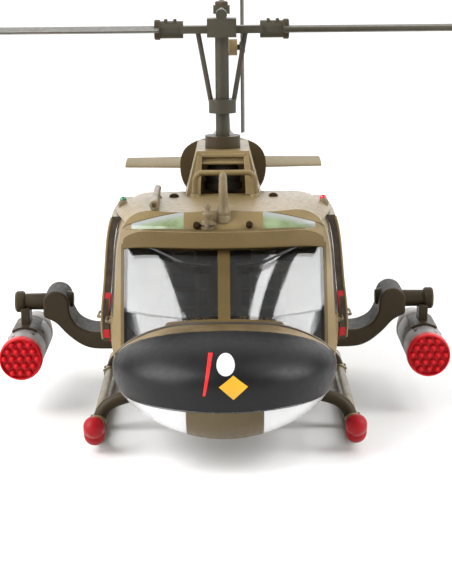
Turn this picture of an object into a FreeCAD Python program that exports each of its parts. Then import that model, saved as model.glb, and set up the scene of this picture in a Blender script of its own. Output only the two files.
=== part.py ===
import FreeCAD, Part
import math
import os
import Sketcher

"""Toy helicopter: a 1:48 two-blade gunship with sliding doors, hinged crew doors and rocket pods.

Millimetres, +Z up, nose towards -Y, +X to the helicopter's left.  The origin is on the ground,
below the middle of the model's length.  A station is a distance aft of the nose tip.
"""

Vec = FreeCAD.Vector
doc = FreeCAD.newDocument("toy_helicopter")
sheet = doc.addObject("Spreadsheet::Sheet", "dims")

DIMENSIONS = {
    # whole model
    "body_length": 256, "wall": 1.1, "door_gap": 0.3,
    # fuselage section
    "nose_half_width": 22, "cabin_half_width": 24.2, "nose_length": 21, "nose_level": 18,
    "nose_rise": 9, "nose_drop": 13, "belly_level": 5, "roof_level": 45.8, "roof_fall": 1.9,
    "waist_level": 19,
    "nose_split_level": 13.5, "sill_level": 16, "keel_width": 14.6,
    "door_top": 43, "door_split": 48, "cabin_end": 76, "rear_end": 112, "roof_start": 43.3,
    # windshield
    "glass_top": 39.4, "post_width": 2.4, "glass_half_width": 20,
    # doors
    "cargo_door_thickness": 1.6,
    # interior
    "floor_level": 10, "floor_thickness": 1, "seat_width": 11, "seat_depth": 8,
    "seat_offset": 8.2, "floor_margin": 5.8, "seat_station": 38, "seat_height": 3, "seat_back_height": 20,
    "bench_station": 67.8, "bench_depth": 6, "bench_width": 34, "panel_width": 27,
    # rotor
    "mast_station": 73, "mast_radius": 1.5, "hub_level": 80, "rotor_radius": 139.7,
    "blade_root": 13.6, "blade_chord": 11.5, "blade_thickness": 1.5, "running_clearance": 0.06,
    "stabiliser_reach": 28, "stabiliser_level": 84.5,
    # tail
    "boom_end": 224, "tail_rotor_station": 245, "tail_rotor_level": 65.6, "tail_rotor_radius": 27,
    "tail_chord": 5, "tail_hub_start": 5.4, "tail_shaft_radius": 0.9, "elevator_station": 180,
    "elevator_chord": 21, "elevator_tip": 28, "elevator_level": 36,
    # skids
    "skid_offset": 26.3, "skid_front": 21.5, "skid_rear": 94, "skid_radius": 1.3,
    "skid_level": 1.7, "front_strut_station": 38, "rear_strut_station": 80, "strut_radius": 1.35,
    # weapons
    "arm_station": 60, "arm_depth": 12, "arm_bottom": 11.7, "arm_height": 3.9,
    "knuckle_offset": 36.6, "pod_offset": 43.3, "pod_level": 12.6, "pod_front": 50,
    "pod_radius": 4.4, "pod_length": 32, "pod_cap_radius": 4.6, "pod_cap_depth": 2.6,
}
for line, (alias, value) in enumerate(DIMENSIONS.items(), 1):
    sheet.set(f"A{line}", alias)
    sheet.set(f"B{line}", str(value))
    sheet.setAlias(f"B{line}", alias)
doc.recompute()


def size(alias):
    return float(getattr(sheet, alias))


def along(station):
    """The y of a station."""
    return station - size("body_length") / 2


SUBPARTS = []


def keep(piece):
    SUBPARTS.append(piece)
    return piece


def feature(label, shape):
    """A sub-part whose shape comes from Part's own functions."""
    piece = doc.addObject("Part::Feature", label)
    piece.Shape = shape
    piece.Placement = FreeCAD.Placement()
    return keep(piece)


def bind(piece, formulas, place=None, turn=None):
    """Binds a primitive's sizes and place to the sheet."""
    if turn:
        piece.Placement = FreeCAD.Placement(Vec(0, 0, 0), FreeCAD.Rotation(Vec(*turn[0]), turn[1]))
    for name, formula in formulas.items():
        piece.setExpression(name, formula)
    for axis, formula in zip("xyz", place or ()):
        piece.setExpression(f"Placement.Base.{axis}", str(formula))
    return piece


def primitive(kind, label, formulas, place, turn=None):
    return bind(doc.addObject("Part::" + kind, label), formulas, place, turn)


def fused(label, pieces):
    group = doc.addObject("Part::MultiFuse", label)
    group.Shapes = pieces
    return keep(group)


def compound(label, pieces):
    """Separate solids of one node."""
    group = doc.addObject("Part::Compound", label)
    group.Links = pieces
    return keep(group)


def station_formula(alias):
    return f"dims.{alias} - dims.body_length / 2"


# ---------------------------------------------------------------- shape helpers

def box(x0, x1, s0, s1, z0, z1):
    return Part.makeBox(x1 - x0, s1 - s0, z1 - z0, Vec(x0, along(s0), z0))


def rod(start, end, radius):
    """A cylinder between two points given as (x, station, z)."""
    a = Vec(start[0], along(start[1]), start[2])
    b = Vec(end[0], along(end[1]), end[2])
    return Part.makeCylinder(radius, (b - a).Length, a, b - a)


def ball(centre, radius):
    return Part.makeSphere(radius, Vec(centre[0], along(centre[1]), centre[2]))


def cone(start, end, radius_start, radius_end):
    a = Vec(start[0], along(start[1]), start[2])
    b = Vec(end[0], along(end[1]), end[2])
    return Part.makeCone(radius_start, radius_end, (b - a).Length, a, b - a)


def mirrored(shape):
    return shape.mirror(Vec(0, 0, 0), Vec(1, 0, 0))


def side_prism(outline, x0, x1):
    """A prism across the body over a closed outline of (station, z) corners."""
    corners = [Vec(x0, along(s), z) for s, z in outline]
    face = Part.Face(Part.makePolygon(corners + corners[:1]))
    return face.extrude(Vec(x1 - x0, 0, 0))


def largest(shape):
    return max(shape.Solids, key=lambda solid: solid.Volume)


def ease(start, end, value):
    t = min(max((value - start) / (end - start), 0), 1)
    return t * t * (3 - 2 * t)


# ---------------------------------------------------------------- fuselage surfaces

LOWER_POWER = 2.3
UPPER_POWER = 8.0
CHIN_POWER = 2.8
LEAN = 0.003


def closed_section(station, half_width, bottom, waist, top, power=UPPER_POWER, lean=LEAN):
    """A smooth closed section across the body at one station."""
    right = []
    for degrees in (0, 22, 42, 60, 76, 90):
        angle = math.radians(degrees)
        x = half_width * math.sin(angle) ** (2 / LOWER_POWER)
        z = waist - (waist - bottom) * math.cos(angle) ** (2 / LOWER_POWER)
        right.append((x, z))
    for rise in (0.35, 0.62, 0.8, 0.91, 0.975):
        z = waist + (top - waist) * rise
        x = half_width * (1 - rise ** power) ** (1 / power) * (1 - lean * (z - waist))
        right.append((x, z))
    right.append((right[-1][0] * 0.62, top - 0.012 * (top - waist)))
    right.append((0, top))
    left = [(-x, z) for x, z in right[-2:0:-1]]
    curve = Part.BSplineCurve()
    curve.interpolate([Vec(x, along(station), z) for x, z in right + left], PeriodicFlag=True)
    return Part.Wire(curve.toShape())


def cabin_width(station):
    grow = ease(size("nose_length"), size("nose_length") + 31, station)
    return size("nose_half_width") + (size("cabin_half_width") - size("nose_half_width")) * grow


def cabin_block(inset, eaves=0.0):
    """The cabin's prism-like body, before the windshield's slope is cut, with optional eaves."""
    wires = []
    for station in (6, 21, 30, 40, 52, 64, size("cabin_end") + 4):
        crown = size("roof_level") - size("roof_fall") * ease(52, size("cabin_end") + 8, station)
        half_width = cabin_width(station) - inset + eaves * ease(38, 52, station)
        wires.append(closed_section(station, half_width, size("belly_level") + inset,
                                    size("waist_level"), crown - inset))
    return Part.makeLoft(wires, True, False)


# the windshield's plan at each level: level, centre station, bow depth, bow half-width
FRONT_PLAN = ((2, 5.5, 18, 22), (27, 18, 10.5, 20), (39.4, 31, 3.8, 19), (43, 33.5, 3.2, 18),
              (50, 42, 3, 17))


def behind_windshield(inset):
    """Everything behind the sloped, bowed front of the cabin."""
    reach = 32
    wires = []
    for level, centre, bow, half_width in FRONT_PLAN:
        front = along(centre + inset)
        side = front + bow * (reach / half_width) ** 2
        curve = Part.BezierCurve()
        curve.setPoles([Vec(-reach, side, level), Vec(0, 2 * front - side, level), Vec(reach, side, level)])
        back = along(140)
        edges = [curve.toShape(),
                 Part.makeLine(Vec(reach, side, level), Vec(reach, back, level)),
                 Part.makeLine(Vec(reach, back, level), Vec(-reach, back, level)),
                 Part.makeLine(Vec(-reach, back, level), Vec(-reach, side, level))]
        wires.append(Part.Wire(edges))
    return Part.makeLoft(wires, True, True)


def nose_solid(inset):
    """The rounded nose as stacked ellipses, blunter below its widest level than above."""
    steps = (0.2, 0.4, 0.56, 0.7, 0.82, 0.91, 0.965, 0.99)
    levels = [(depth, CHIN_POWER, size("nose_drop")) for depth in reversed(steps)]
    levels.append((0, 2, size("nose_rise")))
    levels += [(height, 2, size("nose_rise")) for height in steps]
    wires = []
    for index, (share, power, reach) in enumerate(levels):
        half_width = (size("nose_half_width") - inset) * math.sqrt(1 - share ** 2)
        length = (size("nose_length") - inset) * (1 - share ** power) ** (1 / power)
        offset = (reach - inset) * share
        level = size("nose_level") + (offset if index >= len(steps) else -offset)
        points = []
        for degrees in range(0, 360, 15):
            angle = math.radians(degrees)
            station = size("nose_length") + length * math.sin(angle)
            points.append(Vec(half_width * math.cos(angle), along(station), level))
        curve = Part.BSplineCurve()
        curve.interpolate(points, PeriodicFlag=True)
        wires.append(Part.Wire(curve.toShape()))
    return Part.makeLoft(wires, True, False).common(box(-40, 40, -5, size("nose_length"), -5, 50))


WALL = size("wall")
SILL = size("sill_level")
OUTER = cabin_block(0).common(behind_windshield(0))
INNER = cabin_block(WALL).common(behind_windshield(WALL * 1.3))
UPPER_SHELL = OUTER.cut(INNER).common(box(-40, 40, 0, size("cabin_end"), SILL, 60))
BELLY = cabin_block(0).cut(cabin_block(WALL)).common(
    box(-40, 40, size("nose_length"), size("cabin_end"), 0, SILL))

NOSE_BLOCK = nose_solid(0)
NOSE = NOSE_BLOCK.cut(nose_solid(WALL))
SPLIT = size("nose_split_level")
CABIN_TOP_PART = OUTER.common(box(-40, 40, 0, 80, SILL, 60))


def nose_cap():
    return NOSE.common(box(-40, 40, -5, size("nose_length"), SPLIT, 50)).cut(CABIN_TOP_PART)


feature("nose_cap", largest(nose_cap()))
keel_half = size("keel_width") / 2
KEEL = NOSE.common(box(-keel_half, keel_half, -5, size("nose_length"), -5, SPLIT))
CHIN = NOSE.common(box(keel_half, 40, -5, size("nose_length"), -5, SPLIT))
feature("chin_windows", Part.makeCompound([largest(CHIN), mirrored(largest(CHIN))]))
feature("lower_hull", Part.makeCompound([largest(BELLY), largest(KEEL)]))


# ---------------------------------------------------------------- windshield, roof and side frames

ROOF_START = size("roof_start")
GLASS_TOP = size("glass_top")
SCREEN = UPPER_SHELL.common(box(-20.7, 20.7, 0, 37, SILL, GLASS_TOP)).cut(NOSE_BLOCK)
PANE_ZONE = behind_windshield(-3).cut(behind_windshield(WALL * 1.3 + 2)).common(
    box(size("post_width") / 2, size("glass_half_width"), 0, 37, 20, GLASS_TOP - 0.6))


def grown_nose():
    """The nose carried up by the sill's height, which the panes stop at."""
    sill_height = 0.5
    raised = NOSE_BLOCK.translated(Vec(0, 0, sill_height))
    return raised.fuse(box(-40, 40, 0, 40, 0, size("nose_level") + sill_height))


PANE_CUTTER = PANE_ZONE.cut(grown_nose())
PANE = largest(SCREEN.common(PANE_CUTTER))
feature("windshield_left", PANE)
feature("windshield_right", mirrored(PANE))
feature("windshield_frame", largest(SCREEN.cut(PANE_CUTTER).cut(mirrored(PANE_CUTTER))))

EAVES = size("door_gap") + size("cargo_door_thickness")
ROOF_BLOCK = cabin_block(0, EAVES).common(behind_windshield(0))
ROOF = ROOF_BLOCK.cut(INNER).common(box(-40, 40, 0, size("cabin_end"), ROOF_START, 60))
BROW = UPPER_SHELL.common(box(-20.7, 20.7, 0, 37.5, GLASS_TOP, ROOF_START))
LIP = behind_windshield(-1.3).cut(behind_windshield(0)).common(
    box(-20.2, 20.2, 0, 38, GLASS_TOP + 0.1, GLASS_TOP + 2.9))
WINDOW_ZONE = box(8, 18.6, 31.5, 37.2, 42.3, 60)
roof_window = largest(ROOF.fuse(BROW).common(WINDOW_ZONE))
compound("roof_windows", [
    doc.addObject("Part::Feature", "roof_window_pane_left"),
    doc.addObject("Part::Feature", "roof_window_pane_right")])
doc.roof_window_pane_left.Shape = roof_window
doc.roof_window_pane_right.Shape = mirrored(roof_window)
roof_shape = ROOF.fuse(BROW).fuse(LIP).removeSplitter()
roof_shape = roof_shape.cut(WINDOW_ZONE).cut(mirrored(WINDOW_ZONE))
feature("cabin_roof", largest(roof_shape))

DOOR_TOP = size("door_top")
DOOR_SPLIT = size("door_split")
CREW_OUTLINE = ((28.3, SILL + 0.3), (28.3, 20), (33.6, 27), (38.6, GLASS_TOP), (39.8, DOOR_TOP),
                (DOOR_SPLIT - 1.3, DOOR_TOP), (DOOR_SPLIT - 1.3, SILL + 0.3))
CREW_WINDOW = ((35.2, 24.6), (39.7, 37.2), (41.3, 40.6), (44.6, 40.6), (44.6, 24.6))
CARGO_WINDOWS = ((52, 60.6), (63.6, 72.4))


def side_frame():
    """The post ahead of the crew door, and the pillar that both doors close against."""
    walls = UPPER_SHELL.common(box(8, 40, 0, size("cabin_end"), SILL, ROOF_START))
    walls = walls.cut(box(-20.7, 20.7, 0, 37.5, SILL, ROOF_START)).cut(NOSE_BLOCK)
    gap = size("door_gap")
    front_zone = side_prism(((15, SILL), (28.3 - gap, SILL), (28.3 - gap, 20), (33.6 - gap, 27),
                             (38.6 - gap, GLASS_TOP), (39.8 - gap, DOOR_TOP), (39.8 - gap, ROOF_START),
                             (15, ROOF_START)), 0, 40)
    front = largest(walls.common(front_zone))
    pillar = largest(walls.common(box(0, 40, DOOR_SPLIT - 1, DOOR_SPLIT + 1.2, SILL, ROOF_START)))
    rear = largest(walls.common(box(0, 40, size("cabin_end") - 2, size("cabin_end"), SILL, ROOF_START)))
    return Part.makeCompound([front, pillar, rear])


LEFT_FRAME = side_frame()
feature("door_frame_left", LEFT_FRAME)
feature("door_frame_right", mirrored(LEFT_FRAME))


def crew_door():
    walls = cabin_block(0).cut(cabin_block(WALL)).common(behind_windshield(WALL * 1.3 + 0.4))
    door = largest(walls.common(side_prism(CREW_OUTLINE, 8, 40)))
    window_hole = side_prism(CREW_WINDOW, 8, 40)
    return largest(door.cut(window_hole)), largest(door.common(window_hole))


def cargo_door():
    """A sliding door that stands outside the cabin's wall."""
    gap = size("door_gap")
    outside = cabin_block(-gap - size("cargo_door_thickness"))
    inside = cabin_block(-gap)
    panel = outside.cut(inside).common(
        box(8, 40, DOOR_SPLIT, size("cabin_end"), SILL + 0.3, DOOR_TOP))
    panel = largest(panel)
    windows = []
    for start, end in CARGO_WINDOWS:
        hole = box(8, 40, start, end, 25.5, 40)
        windows.append(panel.common(hole))
        panel = panel.cut(hole)
    return largest(panel), Part.makeCompound([largest(pane) for pane in windows])


for name, (door, window) in (("crew", crew_door()), ("cargo", cargo_door())):
    feature(name + "_door_left", door)
    feature(name + "_door_right", mirrored(door))
    feature(name + "_window_left", window)
    feature(name + "_window_right", mirrored(window))


# ---------------------------------------------------------------- rear fuselage and tail

REAR_SECTIONS = ((size("cabin_end") + 0.1, 23.8, 5.3, 19, 44.1, 8), (88, 22.2, 6.4, 20.5, 42.6, 6),
                 (100, 17.2, 9.8, 23.5, 40.8, 4.5), (size("rear_end"), 9.8, 14, 27, 39, 3.2))
BOOM_SECTIONS = ((size("rear_end"), 9.8, 14, 27, 39, 3.2), (135, 8.2, 19, 30, 39.5, 3),
                 (180, 5.6, 27, 34.5, 40.6, 2.8), (size("boom_end"), 3.6, 34, 38.2, 42, 2.6))


def lofted(sections, inset=0.0):
    wires = []
    for station, half_width, bottom, waist, top, power in sections:
        wires.append(closed_section(station, half_width - inset, bottom + inset, waist, top - inset, power))
    return Part.makeLoft(wires, True, False)


REAR = lofted(REAR_SECTIONS)
inner_sections = [(s - (0.5 if s < 80 else 3), *rest) for s, *rest in REAR_SECTIONS]
feature("rear_fuselage", largest(REAR.cut(lofted(inner_sections, 1.6))))
BOOM = lofted(BOOM_SECTIONS)

FIN_OUTLINE = ((214, 37), (224, 48), (236.5, 68), (238.5, 70), (248.5, 70), (250.5, 68.5), (256, 56),
               (244, 38), (232, 34))


def fin_blank():
    """The swept fin: an outline cut from a plate that thins towards its top."""
    base = side_prism(FIN_OUTLINE, -3.5, 3.5)
    taper = Part.makeLoft([
        Part.makePolygon([Vec(-x, along(205), z), Vec(x, along(205), z), Vec(x * 0.55, along(258), z),
                          Vec(-x * 0.55, along(258), z), Vec(-x, along(205), z)])
        for x, z in ((3.0, 30), (1.3, 72))], True, True)
    return base.common(taper)


HUB = Vec(0, along(size("tail_rotor_station")), size("tail_rotor_level"))
bore_radius = size("tail_shaft_radius") + size("running_clearance")
gearbox_bore = Part.makeCylinder(bore_radius, 6, HUB + Vec(-0.6, 0, 0), Vec(1, 0, 0))
gearbox = Part.makeCylinder(2.6, 4.4, HUB + Vec(0.3, 0, 0), Vec(1, 0, 0))
gearbox = gearbox.fuse(Part.makeSphere(2.9, HUB + Vec(1.0, 0, 0))).cut(
    box(-10, size("tail_hub_start") - 0.9 - 4.4, 200, 280, 0, 100))
feature("tail_gearbox", gearbox.removeSplitter().cut(gearbox_bore))
fin = largest(fin_blank().cut(BOOM).cut(gearbox))
feature("tail_fin", fin)
feature("tail_boom", BOOM)


def elevator():
    """One tailplane half with a rounded section."""
    root, tip = 3.5, size("elevator_tip")
    start, chord = size("elevator_station"), size("elevator_chord")
    wires = []
    for x, scale in ((root, 1.0), (tip, 0.82)):
        middle = along(start + chord / 2 + (1 - scale) * 2)
        ellipse = Part.Ellipse(Vec(0, 0, 0), chord * scale / 2, 1.15 * scale)
        ellipse.rotate(FreeCAD.Placement(Vec(0, 0, 0), FreeCAD.Rotation(Vec(0, 0, 1), 90)))
        shape = ellipse.toShape()
        shape.Placement = FreeCAD.Placement(Vec(x, middle, size("elevator_level")),
                                            FreeCAD.Rotation(Vec(0, 1, 0), 90))
        wires.append(Part.Wire(shape))
    return Part.makeLoft(wires, True, True)


TAILPLANE = largest(elevator().cut(BOOM))
feature("elevators", Part.makeCompound([TAILPLANE, mirrored(TAILPLANE)]))
skid_end = (0, 243, 24.5)
feature("tail_skid", rod((0, 227, 36), skid_end, 0.7).fuse(ball(skid_end, 0.9)).cut(BOOM).cut(fin))


# ---------------------------------------------------------------- interior

floor = bind(doc.addObject("Part::Box", "cockpit_floor"), {
    "Length": "2 * (dims.nose_half_width - dims.floor_margin)", "Height": "dims.floor_thickness",
    "Width": "dims.cabin_end - dims.nose_length - 5.2"},
    ("-(dims.nose_half_width - dims.floor_margin)", station_formula("nose_length") + " + 5",
     "dims.floor_level"))
keep(floor)

FLOOR_TOP = size("floor_level") + size("floor_thickness")


def instrument_panel():
    """The hooded panel across the cockpit, with the console that runs back between the seats."""
    half = size("panel_width") / 2
    hood = side_prism(((15.5, 20.5), (15.5, 23.2), (18.5, 24.6), (22.5, 24.2), (22.8, 22.5), (22.0, 15),
                       (17.5, 15)), -half, half)
    corners = cabin_block(WALL + 0.5).common(behind_windshield(WALL * 1.3 + 0.6))
    console = side_prism(((24, FLOOR_TOP), (24, 17.5), (33, 15.2), (35, 14.5), (35, FLOOR_TOP)), -3, 3)
    neck = box(-3, 3, 21, 25, 15, 18)
    return largest(hood.common(corners).fuse([console, neck]).removeSplitter())


feature("instrument_panel", instrument_panel())


def armoured_seat(label, side):
    """A seat pan, a back and a head rest, each sized from the sheet."""
    left_edge = f"{side} * dims.seat_offset - dims.seat_width / 2"
    front = station_formula("seat_station")
    pan = primitive("Box", label + "_pan", {
        "Length": "dims.seat_width", "Width": "dims.seat_depth", "Height": "dims.seat_height"},
        (left_edge, front, "dims.floor_level + dims.floor_thickness + 2.4"))
    back = primitive("Box", label + "_back", {
        "Length": "dims.seat_width", "Width": "1.8", "Height": "dims.seat_back_height"},
        (left_edge, front + " + dims.seat_depth - 1.8", "dims.floor_level + dims.floor_thickness + 2.4"))
    stem = primitive("Box", label + "_pedestal", {
        "Length": "dims.seat_width - 3", "Width": "dims.seat_depth - 2", "Height": "2.4"},
        (left_edge + " + 1.5", front + " + 0.6", "dims.floor_level + dims.floor_thickness"))
    rest = primitive("Box", label + "_head_rest", {
        "Length": "dims.seat_width - 6", "Width": "1.8", "Height": "2.6"},
        (left_edge + " + 3", front + " + dims.seat_depth - 1.8",
         "dims.floor_level + dims.floor_thickness + 2.4 + dims.seat_back_height"))
    return fused(label, [pan, back, stem, rest])


armoured_seat("pilot_seat", -1)
armoured_seat("copilot_seat", 1)

bench_seat = primitive("Box", "bench_seat", {
    "Length": "dims.bench_width", "Width": "dims.bench_depth", "Height": "1.6"},
    ("-dims.bench_width / 2", station_formula("bench_station"),
     "dims.floor_level + dims.floor_thickness + 5"))
bench_back = primitive("Box", "bench_back", {
    "Length": "dims.bench_width", "Width": "1.2", "Height": "12"},
    ("-dims.bench_width / 2", station_formula("bench_station") + " + dims.bench_depth - 1.2",
     "dims.floor_level + dims.floor_thickness + 5"))
bench_leg = primitive("Box", "bench_leg", {
    "Length": "dims.bench_width - 4", "Width": "1.2", "Height": "5"},
    ("-dims.bench_width / 2 + 2", station_formula("bench_station") + " + dims.bench_depth - 1.2",
     "dims.floor_level + dims.floor_thickness"))
fused("cabin_bench", [bench_seat, bench_back, bench_leg])


def control_sticks():
    sticks = []
    for side in (-1, 1):
        x = side * size("seat_offset")
        cyclic = rod((x, 31, FLOOR_TOP), (x, 32, 18), 0.4).fuse(rod((x, 32, 18), (x, 31.6, 20.4), 0.65))
        sticks.append(cyclic)
        lever_x = x - 1.5 - size("seat_width") / 2 if side > 0 else x + 1.5 + size("seat_width") / 2
        sticks.append(rod((lever_x, 43, FLOOR_TOP), (lever_x, 37, 16.5), 0.4))
    under_floor = box(-40, 40, 20, 60, 0, FLOOR_TOP)
    return Part.makeCompound([stick.cut(under_floor) for stick in sticks])


feature("control_sticks", control_sticks())

BULKHEAD = cabin_block(WALL + 0.1).common(
    box(-40, 40, size("cabin_end") - 1.8, size("cabin_end") - 0.4, FLOOR_TOP, ROOF_START - 0.2))
BULKHEAD = BULKHEAD.cut(box(-40, 40, 0, size("cabin_end") - 0.2, 0, FLOOR_TOP))
feature("rear_bulkhead", largest(BULKHEAD))


# ---------------------------------------------------------------- roof, engine and mast

MAST = size("mast_station")
ROOF_CUT = ROOF_BLOCK.fuse(REAR)


def transmission_fairing():
    """A tapered hollow housing, open to the front, that carries the mast."""
    wires = []
    for level, half_width, front, rear in ((41.2, 9.0, 60.9, 92), (54.3, 5.7, 66.4, 88)):
        corners = [Vec(-half_width, along(front), level), Vec(half_width, along(front), level),
                   Vec(half_width, along(rear), level), Vec(-half_width, along(rear), level)]
        wires.append(Part.makePolygon(corners + corners[:1]))
    housing = Part.makeLoft(wires, True, True)
    mouth = side_prism(((60, 40), (60, 51.6), (70, 51.6), (70, 40)), -4.9, 4.9)
    bore = rod((0, MAST, 46), (0, MAST, 60), size("mast_radius") + size("running_clearance"))
    return largest(housing.cut(mouth).cut(bore).cut(ROOF_CUT))


feature("transmission_fairing", transmission_fairing())


def engine_cowl():
    sections = ((92.3, 10.0, 39.6, 47.6, 54.2, 2.8), (104, 9.4, 37, 46, 53.2, 2.6),
                (116, 6.6, 38, 45, 51.5, 2.4))
    return largest(lofted(sections).cut(REAR).cut(BOOM))


COWL = engine_cowl()
feature("engine_cowl", COWL)
exhaust = cone((0, 116.1, 45.6), (0, 126, 46.6), 4.9, 4.3)
exhaust = exhaust.cut(cone((0, 118, 45.8), (0, 128, 46.8), 4.1, 3.6))
feature("exhaust_pipe", largest(exhaust.cut(BOOM).cut(COWL)))

drum = primitive("Cylinder", "bearing_drum", {"Radius": "3.9", "Height": "2.7"},
                 ("0", station_formula("mast_station"), "54.3"))
drum_bore = primitive("Cylinder", "bearing_bore", {
    "Radius": "dims.mast_radius + dims.running_clearance", "Height": "6"},
    ("0", station_formula("mast_station"), "53"))
bearing = doc.addObject("Part::Cut", "mast_bearing")
bearing.Base = drum
bearing.Tool = drum_bore
keep(bearing)


def handrail():
    middle, half, station, top = 0.4, 6.4, 60, 50.4
    ends = (middle - half, middle + half)
    parts = [rod((x, station, 45.2), (x, station, top), 0.6) for x in ends]
    parts.append(rod((ends[0], station, top), (ends[1], station, top), 0.6))
    parts += [ball((x, station, top), 0.7) for x in ends]
    whole = parts[0].fuse(parts[1:])
    return largest(whole.removeSplitter().cut(ROOF_BLOCK))


feature("handrail", handrail())


def roof_vent(x, station, radius, level):
    return ball((x, station, level), radius).cut(ROOF_BLOCK)


vents = [roof_vent(-10.6, 62, 1.5, 45.3), roof_vent(10.8, 62, 1.5, 45.3),
         roof_vent(-5.4, 34.3, 0.9, 43.4), roof_vent(5.2, 34.3, 0.9, 43.4)]
feature("roof_vents", Part.makeCompound([largest(vent) for vent in vents]))

side_probe = rod((-14, 38.6, 46.7), (-14, 60, 47.3), 0.75).fuse([
    rod((-14, 38.6, 46.7), (-14, 41.4, 46.8), 0.9),
    rod((-14, 58, 44), (-14, 58, 47.1), 0.55),
    rod((-14, 41, 43.5), (-14, 41, 46.5), 0.55)]).cut(ROOF_BLOCK)
antenna = cone((0, 35.4, 43), (0, 35.4, 53.9), 1.1, 0.55).fuse(cone((0, 35.4, 43), (0, 35.4, 46.4), 1.4, 1.1))
antenna = antenna.fuse(side_prism(((35.4, 43), (35.4, 48), (40, 43)), -0.5, 0.5)).cut(ROOF_BLOCK)
probe = rod((-3.1, 33.7, 41.6), (-3.1, 33.7, 46.2), 0.55).fuse([
    rod((-3.1, 33.7, 41.6), (-3.1, 33.7, 44), 0.95), ball((-3.1, 33.7, 46.3), 0.75)]).cut(ROOF_BLOCK).cut(LIP)
feature("roof_probes", Part.makeCompound([largest(shape) for shape in (side_probe, antenna, probe)]))

lamp = ball((21.3, 57.5, 44.9), 0.8).fuse(rod((21.3, 57.5, 42), (21.3, 57.5, 44.7), 0.9)).cut(ROOF_BLOCK)
lamp = lamp.common(box(0, 40, 50, 65, ROOF_START, 60))
feature("position_lamp_left", largest(lamp))
feature("position_lamp_right", mirrored(largest(lamp)))


def wiper():
    """A wiper arm that hangs from the header lip and lies along the top of a pane."""
    inner, elbow, outer = (2.6, 26.9, 36.4), (8.2, 27.8, 36.9), (16.6, 33.2, 40.0)
    blade = rod(inner, elbow, 0.3)
    arm = rod(elbow, outer, 0.26).cut(LIP)
    return [largest(blade), largest(arm.cut(blade))]


WIPER = wiper()
feature("wipers", Part.makeCompound(WIPER + [mirrored(piece) for piece in WIPER]))


# ---------------------------------------------------------------- main rotor

mast = primitive("Cylinder", "rotor_mast", {
    "Radius": "dims.mast_radius", "Height": "dims.hub_level - 49"},
    ("0", station_formula("mast_station"), "47.5"))
keep(mast)


def rotor_hub():
    """The teetering yoke with its two blade grips."""
    level = size("hub_level")
    block = box(-3.2, 3.2, MAST - 3.4, MAST + 3.4, level - 1.4, level + 2.6)
    yoke = box(-9, 9, MAST - 2.4, MAST + 2.4, level - 0.6, level + 1.0)
    grips = [rod((side * 8.4, MAST, level + 0.2), (side * 13.5, MAST, level + 0.2), 1.9) for side in (-1, 1)]
    shaft = rod((0, MAST, level - 1.4), (0, MAST, level + 5.4), 1.1)
    whole = block.fuse([yoke, shaft] + grips).removeSplitter()
    return whole


HUB_SHAPE = rotor_hub().cut(rod((0, MAST, 60), (0, MAST, size("hub_level") - 1.4), size("mast_radius")))
feature("rotor_hub", largest(HUB_SHAPE))


def plane_of(body, role):
    return next(item for item in body.Origin.OriginFeatures if item.Role == role)


def main_blade(label, turn):
    """A constant-section blade: a slim profile padded along its span."""
    body = doc.addObject("PartDesign::Body", label)
    sketch = body.newObject("Sketcher::SketchObject", label + "_profile")
    sketch.AttachmentSupport = [(plane_of(body, "YZ_Plane"), "")]
    sketch.MapMode = "FlatFace"
    chord = size("blade_chord")
    half = size("blade_thickness") / 2
    upper = [(-0.35 * chord, 0), (-0.32 * chord, 0.62 * half), (-0.2 * chord, half),
             (0.05 * chord, 0.95 * half), (0.65 * chord, 0.12)]
    outline = upper + [(x, -y) for x, y in reversed(upper[1:])]
    count = len(outline)
    for index, (x, y) in enumerate(outline):
        x_next, y_next = outline[(index + 1) % count]
        sketch.addGeometry(Part.LineSegment(Vec(x, y, 0), Vec(x_next, y_next, 0)))
    for index in range(count):
        sketch.addConstraint(Sketcher.Constraint("Coincident", index, 2, (index + 1) % count, 1))
    for index, (x, y) in enumerate(outline):
        sketch.addConstraint(Sketcher.Constraint("DistanceX", -1, 1, index, 1, x))
        sketch.addConstraint(Sketcher.Constraint("DistanceY", -1, 1, index, 1, y))
        sketch.setExpression(f"Constraints[{count + 2 * index}]", f"{x / chord:.4f} * dims.blade_chord")
    pad = body.newObject("PartDesign::Pad", label + "_span")
    pad.Profile = sketch
    pad.setExpression("Length", "dims.rotor_radius - dims.blade_root")
    body.Placement = FreeCAD.Placement(Vec(0, 0, 0), FreeCAD.Rotation(Vec(0, 0, 1), turn))
    side = "" if turn == 0 else "-"
    bind(body, {}, (f"{side}dims.blade_root", station_formula("mast_station"), "dims.hub_level + 0.2"))
    return body


compound("main_blades", [main_blade("blade_left", 0), main_blade("blade_right", 180)])


def stabiliser_bar():
    """The bar that crosses the blades above the hub, with a weight at each end."""
    level, reach = size("stabiliser_level"), size("stabiliser_reach")
    parts = [rod((0, MAST - reach, level), (0, MAST + reach, level), 0.55)]
    for side in (-1, 1):
        parts.append(rod((0, MAST + side * (reach - 5), level), (0, MAST + side * reach, level), 1.15))
    parts.append(box(-1.8, 1.8, MAST - 1.8, MAST + 1.8, level - 0.9, level + 0.9))
    return parts[0].fuse(parts[1:]).cut(HUB_SHAPE)


feature("stabiliser_bar", stabiliser_bar().removeSplitter())


def pitch_links():
    """The rotating collar on the mast and the two links up to the yoke."""
    collar = rod((0, MAST, 62), (0, MAST, 65), 3.0)
    collar = collar.cut(rod((0, MAST, 60), (0, MAST, 70), size("mast_radius")))
    links = [rod((side * 2.5, MAST, 64.5), (side * 5.2, MAST, size("hub_level") - 0.4), 0.55)
             for side in (-1, 1)]
    return collar.fuse(links).cut(HUB_SHAPE)


feature("pitch_links", largest(pitch_links().removeSplitter()))


# ---------------------------------------------------------------- tail rotor

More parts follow.
